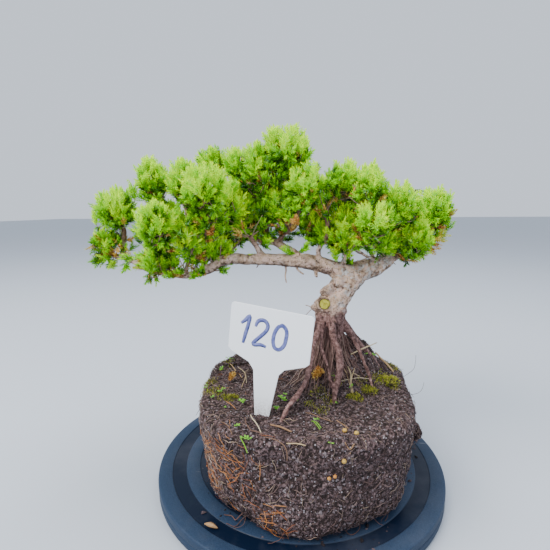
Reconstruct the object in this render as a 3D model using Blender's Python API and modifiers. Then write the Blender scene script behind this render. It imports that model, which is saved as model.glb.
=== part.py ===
"""A bare-rooted juniper bonsai on a workshop turntable.

The tree is one grown piece of wood: roots, leaning trunk, two limbs and their twigs. It stands in a
block of soil still in the shape of its old container. Foliage pads sit on the twigs, a T-shaped plant
label is pushed into the soil, and the block stands on a two-layer turntable whose upper disc spins.
Points of the tree are in millimetres from the middle of the root crown at soil height.
"""
import math

import bmesh
import bpy
from mathutils import Matrix, Vector, noise

MM = 0.001
SEAT_GAP = 0.3              # between pieces that touch
RUN_GAP = 0.1               # around the turntable's pin

# Turntable, turned about the z axis, standing on z = 0
TABLE_RADIUS = 125.0
BASE_THICK = 6.2
PLATTER_THICK = 6.3
SEAM = 0.6                  # slot seen between the two discs
EDGE_ROUND = 1.0
BAND_STEP = 0.5             # depth of the two turned grooves in the platter's top
BAND_WIDTH = 11.8
RAIL_RADIUS = 62.0          # middle of the rail that the platter slides on
RAIL_WIDTH = 6.0
PIN_RADIUS = 7.0
PIN_RISE = 4.4              # of the pin above the base
TURN_SEGMENTS = 72

# Soil block
BALL_HEIGHT = 70.6
BALL_TOP_HALF = (89.0, 95.0)
BALL_FOOT_HALF = (80.0, 92.0)
BALL_TOP_CENTRE = (5.5, -1.0)
BALL_FOOT_CENTRE = (7.0, -6.0)
BALL_CORNER_POWER = 2.8     # 2 is an ellipse, more is squarer
BALL_RIM_ROUND = 6.0
BALL_FOOT_ROUND = 11.0
BALL_BUMP = 2.2
BALL_CUTS = 11
MOUND_RISE = 25.0           # the top swells behind and to the right of the trunk
MOUND_CENTRE = (50.0, 24.0)
MOUND_SPREAD = (34.0, 37.0)
CROWN_CONE_RISE = 29.0      # soil and matted roots heaped under the trunk
CROWN_CONE_RADIUS = 25.0

# Tree, from the root crown's point on the level top of the soil block
ROOT_CROWN = (27.0, 2.0)
TREE_SCALE = 1.0            # length of every limb and root
WOOD_GIRTH = 1.0            # thickness of every limb and root
TWIG_MIN_RADIUS = 1.5
PAD_SCALE = 1.0             # size of every foliage pad
PAD_GAP = 0.8               # between neighbouring pads

# Plant label, a flat plastic T
LABEL_HEAD = (63.0, 44.5)
LABEL_STAKE_TOP = 20.0
LABEL_STAKE_FOOT = 9.0
LABEL_STAKE = 56.0
LABEL_THICK = 1.0
LABEL_POINT = 6.0           # height of the stake's pointed foot
LABEL_THROAT = 4.0          # fillet between stake and head
LABEL_SHOULDER = 9.5        # rise of the head's slanted underside
LABEL_CORNER = 2.6
LABEL_LEAN = 6.2            # degrees, clockwise seen from the front
LABEL_TURN = -16.0          # degrees about the vertical, its right end nearer
LABEL_SETBACK = 36.0        # from the block's front edge
LABEL_DEPTH = 18.0          # pushed into the soil
LABEL_ACROSS = -27.9        # x where the stake enters the soil

PRILL_RADIUS = 1.7
PRILL_SUNK = 0.9

TRUNK = [(0, 0, 48, 10), (0, 0, 58, 13), (2, 2, 71, 13), (8, 4, 81, 12), (15, 6, 89, 11.5),
         (22, 7, 96, 11)]
RIGHT_LIMB = [(14, 6, 92, 9), (24, 8, 97, 9.6), (36, 11, 100, 8.6), (46, 16, 104, 7.6), (54, 21, 109, 6.4),
              (65, 29, 113, 5), (75, 36, 117, 4), (90, 44, 126, 3), (102, 52, 137, 2.4), (104, 53, 146, 1.8)]
LEFT_LIMB = [(20, 7, 95, 9), (6, 4, 99, 8), (-8, 1, 104, 7), (-23, -2, 108, 6.8), (-37, -5, 109, 5.8),
             (-54, -7, 110, 5), (-71, -9, 110, 4.6), (-84, -10, 111, 4.8), (-93, -11, 109, 4.6),
             (-102, -12, 103, 4), (-112, -13, 99, 3.6), (-123, -12, 97, 3.2), (-138, -9, 98, 2.8),
             (-153, -5, 99, 2.6), (-166, 0, 102, 2.5), (-177, 6, 107, 2.5), (-188, 10, 110, 2.4),
             (-201, 14, 112, 2), (-205, 13, 120, 1.6)]
# Each twig starts inside the limb that bears it
TWIGS = [
    [(-25, -1, 109, 4.5), (-34, 6, 115, 4), (-42, 12, 119, 3.6), (-51, 17, 123, 3.2), (-62, 22, 124, 3),
     (-76, 30, 125, 2.6), (-79, 30, 151, 2), (-82, 29, 181, 1.6)],
    [(-56, 18, 123, 2.8), (-57, 16, 138, 2.6), (-55, 14, 153, 2.4), (-53, 12, 166, 2.2), (-50, 10, 180, 2),
     (-41, 6, 194, 1.7)],
    [(-54, 13, 152, 2), (-60, 11, 165, 1.7), (-64, 9, 178, 1.5)],
    [(-47, 14, 122, 2.4), (-39, 6, 133, 2.2), (-32, -2, 142, 2), (-25, -8, 154, 1.8), (-23, -12, 165, 1.6)],
    [(-58, -6, 112, 3.2), (-63, -10, 121, 2.6), (-68, -14, 130, 2)],
    [(-10, 0, 107, 2.6), (-12, -4, 117, 2.2), (-7, -8, 125, 2), (-4, -10, 132, 2), (-5, -10, 144, 1.8),
     (-4, -8, 156, 1.7), (4, -2, 167, 1.6)],
    [(8, 2, 101, 2.4), (12, -6, 114, 2.2), (18, -14, 122, 2), (23, -20, 129, 2), (26, -26, 140, 1.8),
     (27, -22, 158, 1.6)],
    [(41, 10, 106, 2.2), (29, 2, 112, 1.8), (19, -4, 118, 1.6)],
    [(-186, 10, 109, 2.6), (-187, 12, 122, 2.5), (-185, 13, 133, 2.4), (-189, 14, 148, 2)],
    [(-107, -13, 103, 2.6), (-106, -18, 119, 2.2), (-104, -22, 131, 2.2), (-100, -26, 143, 2),
     (-96, -30, 158, 1.7)],
    [(-105, -19, 124, 1.8), (-112, -27, 130, 1.5)],
    [(-165, 0, 101, 2.2), (-153, -10, 109, 1.8), (-140, -20, 116, 1.7), (-137, -31, 130, 1.5)],
    [(-91, -10, 110, 2.6), (-86, 2, 116, 2.2), (-82, 12, 123, 2), (-85, 6, 144, 1.6)],
    [(-84, 6, 118, 2), (-94, 12, 136, 1.8), (-104, 28, 166, 1.7), (-109, 37, 188, 1.5)],
    [(51, 20, 109, 3), (46, 12, 119, 2.5), (41, 4, 130, 2)],
    [(65, 28, 113, 3), (66, 24, 125, 2.5), (62, 16, 142, 2), (60, 8, 152, 1.6)],
    [(64, 28, 113, 2), (66, 44, 128, 1.8), (66, 55, 142, 1.5)],
    [(40, 13, 102, 2.2), (35, 32, 121, 1.8), (29, 56, 149, 1.5)],
    [(-11, 2, 105, 2.2), (-10, 11, 121, 2), (-12, 17, 136, 1.6)],
    [(-10, 12, 122, 1.8), (-14, 33, 138, 1.7), (-17, 56, 156, 1.5)],
    [(-61, 22, 124, 2), (-64, 40, 136, 1.8), (-66, 58, 152, 1.5)],
    [(-123, -11, 98, 2), (-125, 9, 121, 1.8), (-131, 24, 151, 1.7), (-134, 33, 171, 1.5)],
    [(-126, 12, 126, 1.7), (-121, 34, 133, 1.7), (-117, 53, 142, 1.5)],
    [(-138, -8, 99, 2), (-145, 8, 116, 1.8), (-155, 26, 141, 1.7), (-167, 40, 166, 1.5)],
    [(-155, 25, 139, 1.7), (-160, 46, 140, 1.5)],
    [(-13, -1, 103, 2.2), (-14, -4, 94, 1.5)],
    [(-1, 2, 99, 2.2), (-2, -3, 90, 1.5)],
]
ROOTS = [
    [(-7, -8, 63, 3.2), (-11, -16, 53, 2.8), (-16, -26, 42, 2.4), (-18, -38, 32, 2.4), (-21, -48, 23, 2.4),
     (-27, -56, 14, 2.4), (-34, -64, 9, 2.2), (-39, -70, 1, 2), (-41, -73, -7, 1.6)],
    [(-1, -9, 66, 3.8), (0, -18, 56, 3.4), (1, -22, 47, 3.2), (5, -28, 37, 3.2), (6, -32, 27, 3.2),
     (4, -36, 16, 3), (1, -42, 8, 2.8), (0, -46, -3, 2)],
    [(8, -2, 60, 4.4), (13, -2, 51, 3.6), (19, 0, 41, 3.2), (28, 4, 30, 3), (40, 8, 18, 2.6), (47, 11, 4, 2)],
    [(19, 0, 41, 2.4), (24, -6, 32, 2), (28, -12, 23, 1.8), (32, -20, 13, 1.6), (34, -25, 3, 1.5)],
    [(-5, -9, 64, 2.4), (-8, -16, 50, 1.8), (-9, -20, 38, 1.6), (-4, -28, 25, 1.5), (-1, -40, 11, 1.5)],
    [(0, 6, 58, 5), (4, 14, 46, 4), (10, 24, 34, 3.2), (16, 36, 22, 2.6), (20, 46, 6, 2)],
    [(-6, 4, 58, 4.6), (-13, 8, 46, 3.6), (-22, 14, 34, 3), (-33, 22, 20, 2.4), (-40, 28, 6, 2)],
    [(6, 4, 58, 4.6), (16, 14, 46, 3.4), (28, 24, 30, 2.6), (38, 30, 12, 2)],
    [(0, 0, 56, 12), (1, -1, 46, 11), (2, -1, 34, 9.5), (2, 0, 22, 8)],
]
PRUNING_STUB = [(0, 0, 72.5, 4.6), (-6.8, -11.8, 73.4, 4.4)]
TRUNK_BURLS = [((-6, -5, 84), 6.0), ((-9, -2, 68), 5.5), ((9, -6, 66), 6.0), ((5, -5, 90), 6.5)]

# Foliage pads: middle and half-sizes, numbered from the left end of the tree
PADS = [
    ((-205, 12, 125), (11, 13, 11)), ((-192, 12, 153), (19, 20, 19)), ((-169, 43, 179), (15, 20, 23)),
    ((-135, 33, 178), (17, 20, 20)), ((-136, -40, 141), (16, 20, 18)), ((-99, -34, 166), (18, 22, 21)),
    ((-110, 40, 197), (14, 18, 12)), ((-83, 28, 193), (13, 18, 14)), ((-114, -30, 130), (11, 15, 17)),
    ((-147, -8, 113), (17, 20, 11)), ((-100, -2, 123), (16, 22, 17)), ((-85, 0, 154), (14, 18, 22)),
    ((-39, 4, 200), (21, 24, 20)), ((-65, 8, 186), (11, 18, 23)), ((-23, -16, 171), (15, 18, 17)),
    ((10, 4, 173), (17, 22, 18)), ((28, -18, 169), (13, 18, 18)), ((29, -36, 143), (14, 16, 14)),
    ((58, 2, 153), (16, 22, 20)), ((101, 53, 150), (16, 22, 23)), ((70, 8, 128), (16, 20, 19)),
    ((10, 0, 132), (18, 22, 22)), ((45, 4, 127), (13, 18, 13)), ((-71, 22, 147), (14, 18, 22)),
    ((-41, 10, 155), (16, 20, 21)), ((-13, 18, 140), (13, 20, 19)), ((-163, 58, 140), (22, 22, 24)),
    ((-116, 60, 146), (24, 22, 26)), ((-66, 64, 156), (24, 22, 26)), ((-18, 64, 160), (22, 22, 26)),
    ((27, 64, 155), (22, 22, 26)), ((66, 60, 146), (18, 20, 23)),
]

# Moss cushions on the soil: bearing from the block's axis, distance in from its rim, half-sizes
MOSS_PROUD = 0.1            # share of its half height that a cushion's middle is above the soil
MOSS = [(-43, 42.0, (7, 6, 5)), (-27, 31.7, (7, 6, 4)), (-6, 11.4, (8, 8, 5)), (-150, 20.9, (7, 6, 4))]
# Fertiliser prills at the front: distance right of the block's axis, then the height on the block's wall,
# or a distance in from its rim
PRILLS_ON_WALL = [(23.6, 59.0), (17.7, 48.0), (13.8, 46.8)]
PRILLS_ON_TOP = [(35.0, 4.0), (28.5, 8.5)]

PLATTER_FOOT = BASE_THICK + SEAM
PLATTER_TOP = PLATTER_FOOT + PLATTER_THICK
BALL_FOOT = PLATTER_TOP + SEAT_GAP
BALL_TOP = BALL_FOOT + BALL_HEIGHT


for old in list(bpy.data.objects):
    bpy.data.objects.remove(old, do_unlink=True)


def collection(name):
    group = bpy.data.collections.new(name)
    bpy.context.scene.collection.children.link(group)
    return group


PARTS = collection("bonsai_on_turntable")
CUTTERS = collection("cutters")


def material(name, colour, roughness, metallic=0.0):
    mat = bpy.data.materials.new(name)
    mat.use_nodes = True
    shader = mat.node_tree.nodes["Principled BSDF"]
    shader.inputs["Base Color"].default_value = (*colour, 1.0)
    shader.inputs["Roughness"].default_value = roughness
    shader.inputs["Metallic"].default_value = metallic
    mat.diffuse_color = (*colour, 1.0)
    return mat


TURNTABLE_PLASTIC = material("turntable_plastic", (0.020, 0.021, 0.026), 0.42)
SOIL = material("soil", (0.055, 0.035, 0.026), 0.95)
BARK = material("bark", (0.330, 0.235, 0.185), 0.85)
FOLIAGE = material("foliage", (0.160, 0.330, 0.030), 0.60)
LABEL_PLASTIC = material("label_plastic", (0.780, 0.810, 0.860), 0.45)
PRILL = material("prill_coating", (0.620, 0.400, 0.080), 0.50)
MOSS_GREEN = material("moss", (0.240, 0.290, 0.040), 0.95)


def place(obj, mat, group=PARTS):
    for owner in list(obj.users_collection):
        owner.objects.unlink(obj)
    group.objects.link(obj)
    obj.data.materials.clear()
    obj.data.materials.append(mat)
    if group is CUTTERS:
        obj.hide_render = True
        obj.display_type = "WIRE"
    return obj


def mesh_object(name, bm, mat, group=PARTS, smooth_angle=35.0):
    mesh = bpy.data.meshes.new(name)
    bm.to_mesh(mesh)
    bm.free()
    mesh.shade_smooth()
    mesh.set_sharp_from_angle(angle=math.radians(smooth_angle))
    obj = bpy.data.objects.new(name, mesh)
    bpy.context.scene.collection.objects.link(obj)
    return place(obj, mat, group)


def baked(obj, name):
    """A plain mesh object with obj's modifiers or curve worked out; obj itself is removed."""
    graph = bpy.context.evaluated_depsgraph_get()
    mesh = bpy.data.meshes.new_from_object(obj.evaluated_get(graph))
    bm = bmesh.new()
    bm.from_mesh(mesh)
    bmesh.ops.remove_doubles(bm, verts=bm.verts, dist=0.00001)
    bm.to_mesh(mesh)
    bm.free()
    owners = list(obj.users_collection)
    turn = obj.matrix_world.copy()
    bpy.data.objects.remove(obj, do_unlink=True)
    new = bpy.data.objects.new(name, mesh)
    new.matrix_world = turn
    for owner in owners:
        owner.objects.link(new)
    return new


def boolean(obj, operation, other):
    """Join or cut obj with another object, or with every object of a collection."""
    mod = obj.modifiers.new(operation.lower(), "BOOLEAN")
    mod.operation = operation
    mod.solver = "EXACT"
    if isinstance(other, bpy.types.Collection):
        mod.operand_type = "COLLECTION"
        mod.collection = other
    else:
        mod.object = other
    return mod


# Turntable

def turned(name, profile, mat):
    """A disc from its half profile, given in mm as (radius, height) from the outer top to the axis."""
    bm = bmesh.new()
    points = [bm.verts.new((r * MM, 0.0, z * MM)) for r, z in profile]
    for a, b in zip(points, points[1:]):
        bm.edges.new((a, b))
    obj = mesh_object(name, bm, mat)
    screw = obj.modifiers.new("turn", "SCREW")
    screw.steps = TURN_SEGMENTS
    screw.render_steps = TURN_SEGMENTS
    screw.use_merge_vertices = True
    screw.merge_threshold = 0.00001
    return obj


rail_in = RAIL_RADIUS - RAIL_WIDTH / 2
rail_out = RAIL_RADIUS + RAIL_WIDTH / 2
rail_top = PLATTER_FOOT - SEAT_GAP
pin_top = BASE_THICK + PIN_RISE
turned("turntable_base", [
    (0, pin_top), (PIN_RADIUS - 0.5, pin_top), (PIN_RADIUS, pin_top - 0.5), (PIN_RADIUS, BASE_THICK),
    (rail_in, BASE_THICK), (rail_in, rail_top), (rail_out, rail_top), (rail_out, BASE_THICK),
    (TABLE_RADIUS - EDGE_ROUND, BASE_THICK), (TABLE_RADIUS, BASE_THICK - EDGE_ROUND),
    (TABLE_RADIUS, EDGE_ROUND), (TABLE_RADIUS - EDGE_ROUND, 0), (0, 0)], TURNTABLE_PLASTIC)

socket = PIN_RADIUS + RUN_GAP
groove = PLATTER_TOP - BAND_STEP
band = [TABLE_RADIUS - BAND_WIDTH * step for step in range(1, 5)]
turned("turntable_platter", [
    (0, PLATTER_TOP), (band[3], PLATTER_TOP), (band[3] + BAND_STEP, groove), (band[2] - BAND_STEP, groove),
    (band[2], PLATTER_TOP), (band[1], PLATTER_TOP), (band[1] + BAND_STEP, groove),
    (band[0] - BAND_STEP, groove), (band[0], PLATTER_TOP), (TABLE_RADIUS - EDGE_ROUND, PLATTER_TOP),
    (TABLE_RADIUS, PLATTER_TOP - EDGE_ROUND), (TABLE_RADIUS, PLATTER_FOOT + EDGE_ROUND),
    (TABLE_RADIUS - EDGE_ROUND, PLATTER_FOOT), (socket, PLATTER_FOOT),
    (socket, pin_top + SEAT_GAP), (0, pin_top + SEAT_GAP)], TURNTABLE_PLASTIC)


# Wood: every limb, twig and root is a tapered tube, joined into one grown piece

def crown_point(x, y, z):
    crown = Vector((*ROOT_CROWN, BALL_TOP))
    return crown + Vector((x, y, z)) * TREE_SCALE


def smoothed(points):
    """The same path with one more point in the middle of each stretch, on a curve through all of them."""
    ends = [points[0]] + points + [points[-1]]
    path = []
    for a, b, c, d in zip(ends, ends[1:], ends[2:], ends[3:]):
        path.append(b)
        path.append(tuple((9 * (q + r) - p - s) / 16 for p, q, r, s in zip(a, b, c, d)))
    return path + [points[-1]]


def tube(name, points, clearance, group, resolution):
    """A tapered tube along points of (x, y, z, radius), each side and end grown by clearance."""
    curve = bpy.data.curves.new(name, "CURVE")
    curve.dimensions = "3D"
    curve.bevel_depth = MM
    curve.bevel_resolution = resolution
    curve.use_fill_caps = True
    spline = curve.splines.new("POLY")
    spline.points.add(len(points) - 1)
    places = [crown_point(*p[:3]) for p in points]
    if clearance:
        places[0] += (places[0] - places[1]).normalized() * clearance
        places[-1] += (places[-1] - places[-2]).normalized() * clearance
    for node, spot, point in zip(spline.points, places, points):
        node.co = (*(spot * MM), 1.0)
        node.radius = max(point[3] * WOOD_GIRTH, TWIG_MIN_RADIUS) + clearance
    obj = bpy.data.objects.new(name, curve)
    bpy.context.scene.collection.objects.link(obj)
    solid = baked(obj, name)
    bm = bmesh.new()
    bm.from_mesh(solid.data)
    bmesh.ops.recalc_face_normals(bm, faces=bm.faces)
    bm.to_mesh(solid.data)
    bm.free()
    return place(solid, BARK, group)


def burl(name, middle, radius, clearance, group):
    bm = bmesh.new()
    spot = Matrix.Translation(crown_point(*middle) * MM)
    size = (radius * WOOD_GIRTH + clearance) * MM
    bmesh.ops.create_icosphere(bm, subdivisions=2, radius=size, matrix=spot)
    return mesh_object(name, bm, BARK, group)


def grown_wood(name, clearance, group):
    """The whole tree as one solid; with a clearance it is the space that the wood takes up."""
    limbs = bpy.data.collections.new(name + "_limbs")
    CUTTERS.children.link(limbs)
    trunk = tube(name, smoothed(TRUNK), clearance, group, 3)
    for number, path in enumerate([RIGHT_LIMB, LEFT_LIMB]):
        tube(f"{name}_limb_{number}", smoothed(path), clearance, limbs, 2)
    for number, path in enumerate(TWIGS + [PRUNING_STUB]):
        tube(f"{name}_twig_{number}", path, clearance, limbs, 1)
    for number, path in enumerate(ROOTS):
        tube(f"{name}_root_{number}", path, clearance, limbs, 1 if path[0][3] < 9 else 2)
    for number, (middle, radius) in enumerate(TRUNK_BURLS):
        burl(f"{name}_burl_{number}", middle, radius, clearance, limbs)
    for limb in limbs.objects:
        limb.hide_render = True
        limb.display_type = "WIRE"
    boolean(trunk, "UNION", limbs)
    solid = baked(trunk, name)
    for limb in list(limbs.objects):
        bpy.data.objects.remove(limb, do_unlink=True)
    return solid


wood = grown_wood("trunk_and_roots", 0.0, PARTS)
wood.data.shade_smooth()
wood_space = grown_wood("wood_space", SEAT_GAP * 1.3, CUTTERS)
wood_space.hide_render = True
wood_space.display_type = "WIRE"


# Soil block

def blend(low, high, share):
    return low + (high - low) * share


def wall_distance(bearing, height):
    """How far the block's wall is from its axis at a height above its foot."""
    share = height / BALL_HEIGHT
    half_x = blend(BALL_FOOT_HALF[0], BALL_TOP_HALF[0], share)
    half_y = blend(BALL_FOOT_HALF[1], BALL_TOP_HALF[1], share)
    power = BALL_CORNER_POWER
    across = abs(math.cos(bearing) / half_x) ** power
    along = abs(math.sin(bearing) / half_y) ** power
    distance = (across + along) ** (-1 / power)
    rim = max(0.0, 1 - (BALL_HEIGHT - height) / BALL_RIM_ROUND)
    foot = max(0.0, 1 - height / BALL_FOOT_ROUND)
    distance -= BALL_RIM_ROUND * (1 - math.sqrt(1 - rim * rim))
    distance -= BALL_FOOT_ROUND * (1 - math.sqrt(1 - foot * foot))
    swell = noise.noise(Vector((math.cos(bearing) * 2.2, math.sin(bearing) * 2.2, height / 30)))
    return distance + BALL_BUMP * swell


def ball_axis(height):
    share = height / BALL_HEIGHT
    return (blend(BALL_FOOT_CENTRE[0], BALL_TOP_CENTRE[0], share),
            blend(BALL_FOOT_CENTRE[1], BALL_TOP_CENTRE[1], share))


def wall_point(bearing, height):
    x, y = ball_axis(height)
    distance = wall_distance(bearing, height)
    return Vector((x + distance * math.cos(bearing), y + distance * math.sin(bearing), BALL_FOOT + height))


def soil_height(x, y):
    """Height of the soil's top surface above the turntable's datum."""
    aside = (x - MOUND_CENTRE[0]) / MOUND_SPREAD[0]
    behind = (y - MOUND_CENTRE[1]) / MOUND_SPREAD[1]
    mound = MOUND_RISE * math.exp(-aside ** 2 - behind ** 2)
    from_crown = math.hypot(x - ROOT_CROWN[0], y - ROOT_CROWN[1]) / CROWN_CONE_RADIUS
    cone = CROWN_CONE_RISE * math.exp(-from_crown ** 1.7)
    return BALL_TOP + mound + cone + 1.2 * noise.noise(Vector((x / 17, y / 17, 0.3)))


def soil_block():
    bm = bmesh.new()
    bmesh.ops.create_cube(bm, size=2.0)
    bmesh.ops.subdivide_edges(bm, edges=bm.edges, cuts=BALL_CUTS, use_grid_fill=True)
    for vert in bm.verts:
        x, y, z = vert.co
        out = max(abs(x), abs(y))
        bearing = math.atan2(y, x)
        height = BALL_HEIGHT * 0.5 * (1 + math.sin(z * math.pi / 2))
        rim = wall_point(bearing, height)
        axis = ball_axis(height)
        spot = Vector((blend(axis[0], rim.x, out), blend(axis[1], rim.y, out), rim.z))
        if z > 0.999:
            spot.z = blend(rim.z, soil_height(spot.x, spot.y), min(1.0, 3 * (1 - out)))
        vert.co = spot * MM
    return mesh_object("root_ball", bm, SOIL)


root_ball = soil_block()
boolean(root_ball, "DIFFERENCE", wood_space)


# Plant label

def label_outline():
    """Right half of the T, from the stake's point up to the middle of the head's top edge."""
    half_head, head_height = LABEL_HEAD[0] / 2, LABEL_HEAD[1]
    half_stake = LABEL_STAKE_TOP / 2
    top = LABEL_STAKE + head_height
    outline = [(0.0, 0.0), (LABEL_STAKE_FOOT / 2, LABEL_POINT), (half_stake, LABEL_STAKE - LABEL_THROAT),
               (half_stake + LABEL_THROAT, LABEL_STAKE + 1.0),
               (half_head - LABEL_CORNER, LABEL_STAKE + LABEL_SHOULDER - LABEL_CORNER),
               (half_head, LABEL_STAKE + LABEL_SHOULDER)]
    for step in range(4):
        turn = math.radians(30 * step)
        outline.append((half_head - LABEL_CORNER * (1 - math.cos(turn)),
                        top - LABEL_CORNER * (1 - math.sin(turn))))
    return outline


def label(name, clearance, group):
    curve = bpy.data.curves.new(name, "CURVE")
    curve.dimensions = "2D"
    curve.fill_mode = "BOTH"
    curve.extrude = (LABEL_THICK / 2 + clearance) * MM
    right = label_outline()
    outline = [(x + clearance, y - clearance) for x, y in right[1:]]
    outline = [(0.0, -clearance)] + outline + [(-x, y) for x, y in reversed(outline)]
    spline = curve.splines.new("POLY")
    spline.points.add(len(outline) - 1)
    for node, (x, y) in zip(spline.points, outline):
        node.co = (x * MM, y * MM, 0.0, 1.0)
    spline.use_cyclic_u = True
    obj = bpy.data.objects.new(name, curve)
    bpy.context.scene.collection.objects.link(obj)
    solid = baked(obj, name)
    upright = Matrix.Rotation(math.radians(90), 4, "X")
    lean = Matrix.Rotation(math.radians(LABEL_LEAN), 4, "Y")
    turn = Matrix.Rotation(math.radians(LABEL_TURN), 4, "Z")
    front = BALL_TOP_CENTRE[1] - BALL_TOP_HALF[1]
    across = LABEL_ACROSS - LABEL_DEPTH * math.sin(math.radians(LABEL_LEAN))
    spot = Matrix.Translation(Vector((across, front + LABEL_SETBACK, BALL_TOP - LABEL_DEPTH)) * MM)
    solid.data.transform(spot @ turn @ lean @ upright)
    return place(solid, LABEL_PLASTIC, group)


label("plant_label", 0.0, PARTS)
boolean(root_ball, "DIFFERENCE", label("label_slot", SEAT_GAP, CUTTERS))


# Small things lying on the soil, each in a pocket of its own

def away(bearing):
    return Vector((math.cos(math.radians(bearing)), math.sin(math.radians(bearing)), 0.0))


def front_bearing(across, height):
    """The bearing, in degrees, of the point on the front wall that is this far right of the axis."""
    bearing = -90.0
    for _ in range(6):
        bearing = -math.degrees(math.acos(across / wall_distance(math.radians(bearing), height)))
    return bearing


def prill_on_wall(across, height):
    bearing = front_bearing(across, height)
    return wall_point(math.radians(bearing), height) + away(bearing) * (PRILL_RADIUS - PRILL_SUNK)


def prill_on_top(across, inset):
    bearing = front_bearing(across, BALL_HEIGHT)
    spot = wall_point(math.radians(bearing), BALL_HEIGHT) - away(bearing) * inset
    top = blend(spot.z, soil_height(spot.x, spot.y), min(1.0, 3 * inset / BALL_TOP_HALF[1]))
    return Vector((spot.x, spot.y, top + PRILL_RADIUS - PRILL_SUNK))


def lump(name, spot, half_sizes, subdivisions, mat, group):
    bm = bmesh.new()
    shape = Matrix.Translation(spot * MM) @ Matrix.Diagonal((*(Vector(half_sizes) * MM), 1.0))
    bmesh.ops.create_icosphere(bm, subdivisions=subdivisions, radius=1.0, matrix=shape)
    return mesh_object(name, bm, mat, group)


def bedded_lump(name, spot, half_sizes, subdivisions, mat):
    """A lump, grown round any root that it meets, with the pocket that it lies in cut out of the soil."""
    boolean(lump(name, spot, half_sizes, subdivisions, mat, PARTS), "DIFFERENCE", wood_space)
    roomy = [size + SEAT_GAP * 1.4 for size in half_sizes]
    boolean(root_ball, "DIFFERENCE", lump(name + "_pocket", spot, roomy, subdivisions, mat, CUTTERS))


prills = [prill_on_wall(*spot) for spot in PRILLS_ON_WALL] + [prill_on_top(*spot) for spot in PRILLS_ON_TOP]
for number, spot in enumerate(prills, 1):
    bedded_lump(f"fertiliser_prill_{number}", spot, (PRILL_RADIUS,) * 3, 1, PRILL)

for number, (bearing, inset, half_sizes) in enumerate(MOSS, 1):
    distance = wall_distance(math.radians(bearing), BALL_HEIGHT) - inset
    spot = Vector((*BALL_TOP_CENTRE, 0.0)) + away(bearing) * distance
    spot.z = soil_height(spot.x, spot.y) + half_sizes[2] * MOSS_PROUD
    bedded_lump(f"moss_cushion_{number}", spot, half_sizes, 2, MOSS_GREEN)


# Foliage pads

def pad_reach(half_sizes, way):
    return sum((part / size) ** 2 for part, size in zip(way, half_sizes)) ** -0.5


def foliage_pad(number, middle, half_sizes, others):
    """An egg of foliage, flattened where it meets its neighbours and hollowed along the twigs in it."""
    walls = []
    for other_middle, other_sizes in others:
        apart = other_middle - middle
        way = apart.normalized()
        own = pad_reach(half_sizes, way)
        far = pad_reach(other_sizes, way)
        if own + far + PAD_GAP > apart.length:
            walls.append((way, apart.length * own / (own + far) - PAD_GAP / 2))
    bm = bmesh.new()
    bmesh.ops.create_icosphere(bm, subdivisions=2, radius=1.0)
    for vert in bm.verts:
        way = vert.co.normalized()
        reach = pad_reach(half_sizes, way)
        for wall_way, wall_at in walls:
            slant = way.dot(wall_way)
            if slant > 0.01:
                reach = min(reach, wall_at / slant)
        vert.co = (middle + way * reach) * MM
    pad = mesh_object(f"foliage_pad_{number:02d}", bm, FOLIAGE, smooth_angle=50.0)
    boolean(pad, "DIFFERENCE", wood_space)


pads = [(crown_point(*middle), Vector(sizes) * PAD_SCALE * TREE_SCALE) for middle, sizes in PADS]
for number, (middle, sizes) in enumerate(pads, 1):
    foliage_pad(number, middle, sizes, [pad for pad in pads if pad[0] is not middle])
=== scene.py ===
import math

import bmesh
import bpy
import numpy as np
from mathutils import Matrix, Vector, noise
from mathutils.bvhtree import BVHTree
from mathutils.kdtree import KDTree


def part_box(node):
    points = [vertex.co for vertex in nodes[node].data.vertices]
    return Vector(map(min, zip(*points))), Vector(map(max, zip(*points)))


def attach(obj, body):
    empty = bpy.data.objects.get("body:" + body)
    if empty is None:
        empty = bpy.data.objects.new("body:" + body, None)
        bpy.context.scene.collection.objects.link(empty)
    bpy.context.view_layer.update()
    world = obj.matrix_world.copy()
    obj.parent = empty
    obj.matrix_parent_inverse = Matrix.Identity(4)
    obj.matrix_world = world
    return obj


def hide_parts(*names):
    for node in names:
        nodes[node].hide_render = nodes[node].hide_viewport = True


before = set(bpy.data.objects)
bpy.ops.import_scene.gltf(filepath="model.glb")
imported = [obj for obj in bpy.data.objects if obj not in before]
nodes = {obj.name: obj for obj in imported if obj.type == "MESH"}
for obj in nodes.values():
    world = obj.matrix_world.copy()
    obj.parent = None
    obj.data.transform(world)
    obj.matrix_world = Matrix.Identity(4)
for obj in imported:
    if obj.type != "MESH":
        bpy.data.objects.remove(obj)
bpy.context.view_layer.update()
MM = 0.001


# Bench and light
# The tree stands on a pale bench top under a wide soft light from the upper left, with a weak fill
# from the right. The camera stands close, a little above the label, and looks slightly down.

def shader_tree(name):
    mat = bpy.data.materials.new(name)
    mat.use_nodes = True
    shader = mat.node_tree.nodes["Principled BSDF"]
    return mat, mat.node_tree, shader


def put(tree, entry, value):
    """Sets a node's input to a value, or joins another node's socket to it."""
    if isinstance(value, bpy.types.NodeSocket):
        tree.links.new(value, entry)
    elif entry.type == "RGBA":
        entry.default_value = (*value, 1)
    else:
        entry.default_value = value


def add(tree, kind, inputs=None, **settings):
    """One node; an input is given by name or number, as a value or as another node's socket."""
    new = tree.nodes.new(kind)
    for key, value in settings.items():
        setattr(new, key, value)
    for key, value in (inputs or {}).items():
        put(tree, new.inputs[key], value)
    return new


def coat(tree, shader, colour, roughness, specular=0.5):
    """Gives a skin its colour, its roughness and the strength of its shine."""
    put(tree, shader.inputs["Base Color"], colour)
    put(tree, shader.inputs["Roughness"], roughness)
    put(tree, shader.inputs["Specular IOR Level"], specular)


def mesh_of(bm, name):
    """The mesh that a bmesh holds; the bmesh is freed."""
    mesh = bpy.data.meshes.new(name)
    bm.to_mesh(mesh)
    bm.free()
    return mesh


def in_scene(name, data):
    obj = bpy.data.objects.new(name, data)
    bpy.context.scene.collection.objects.link(obj)
    return obj


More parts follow.
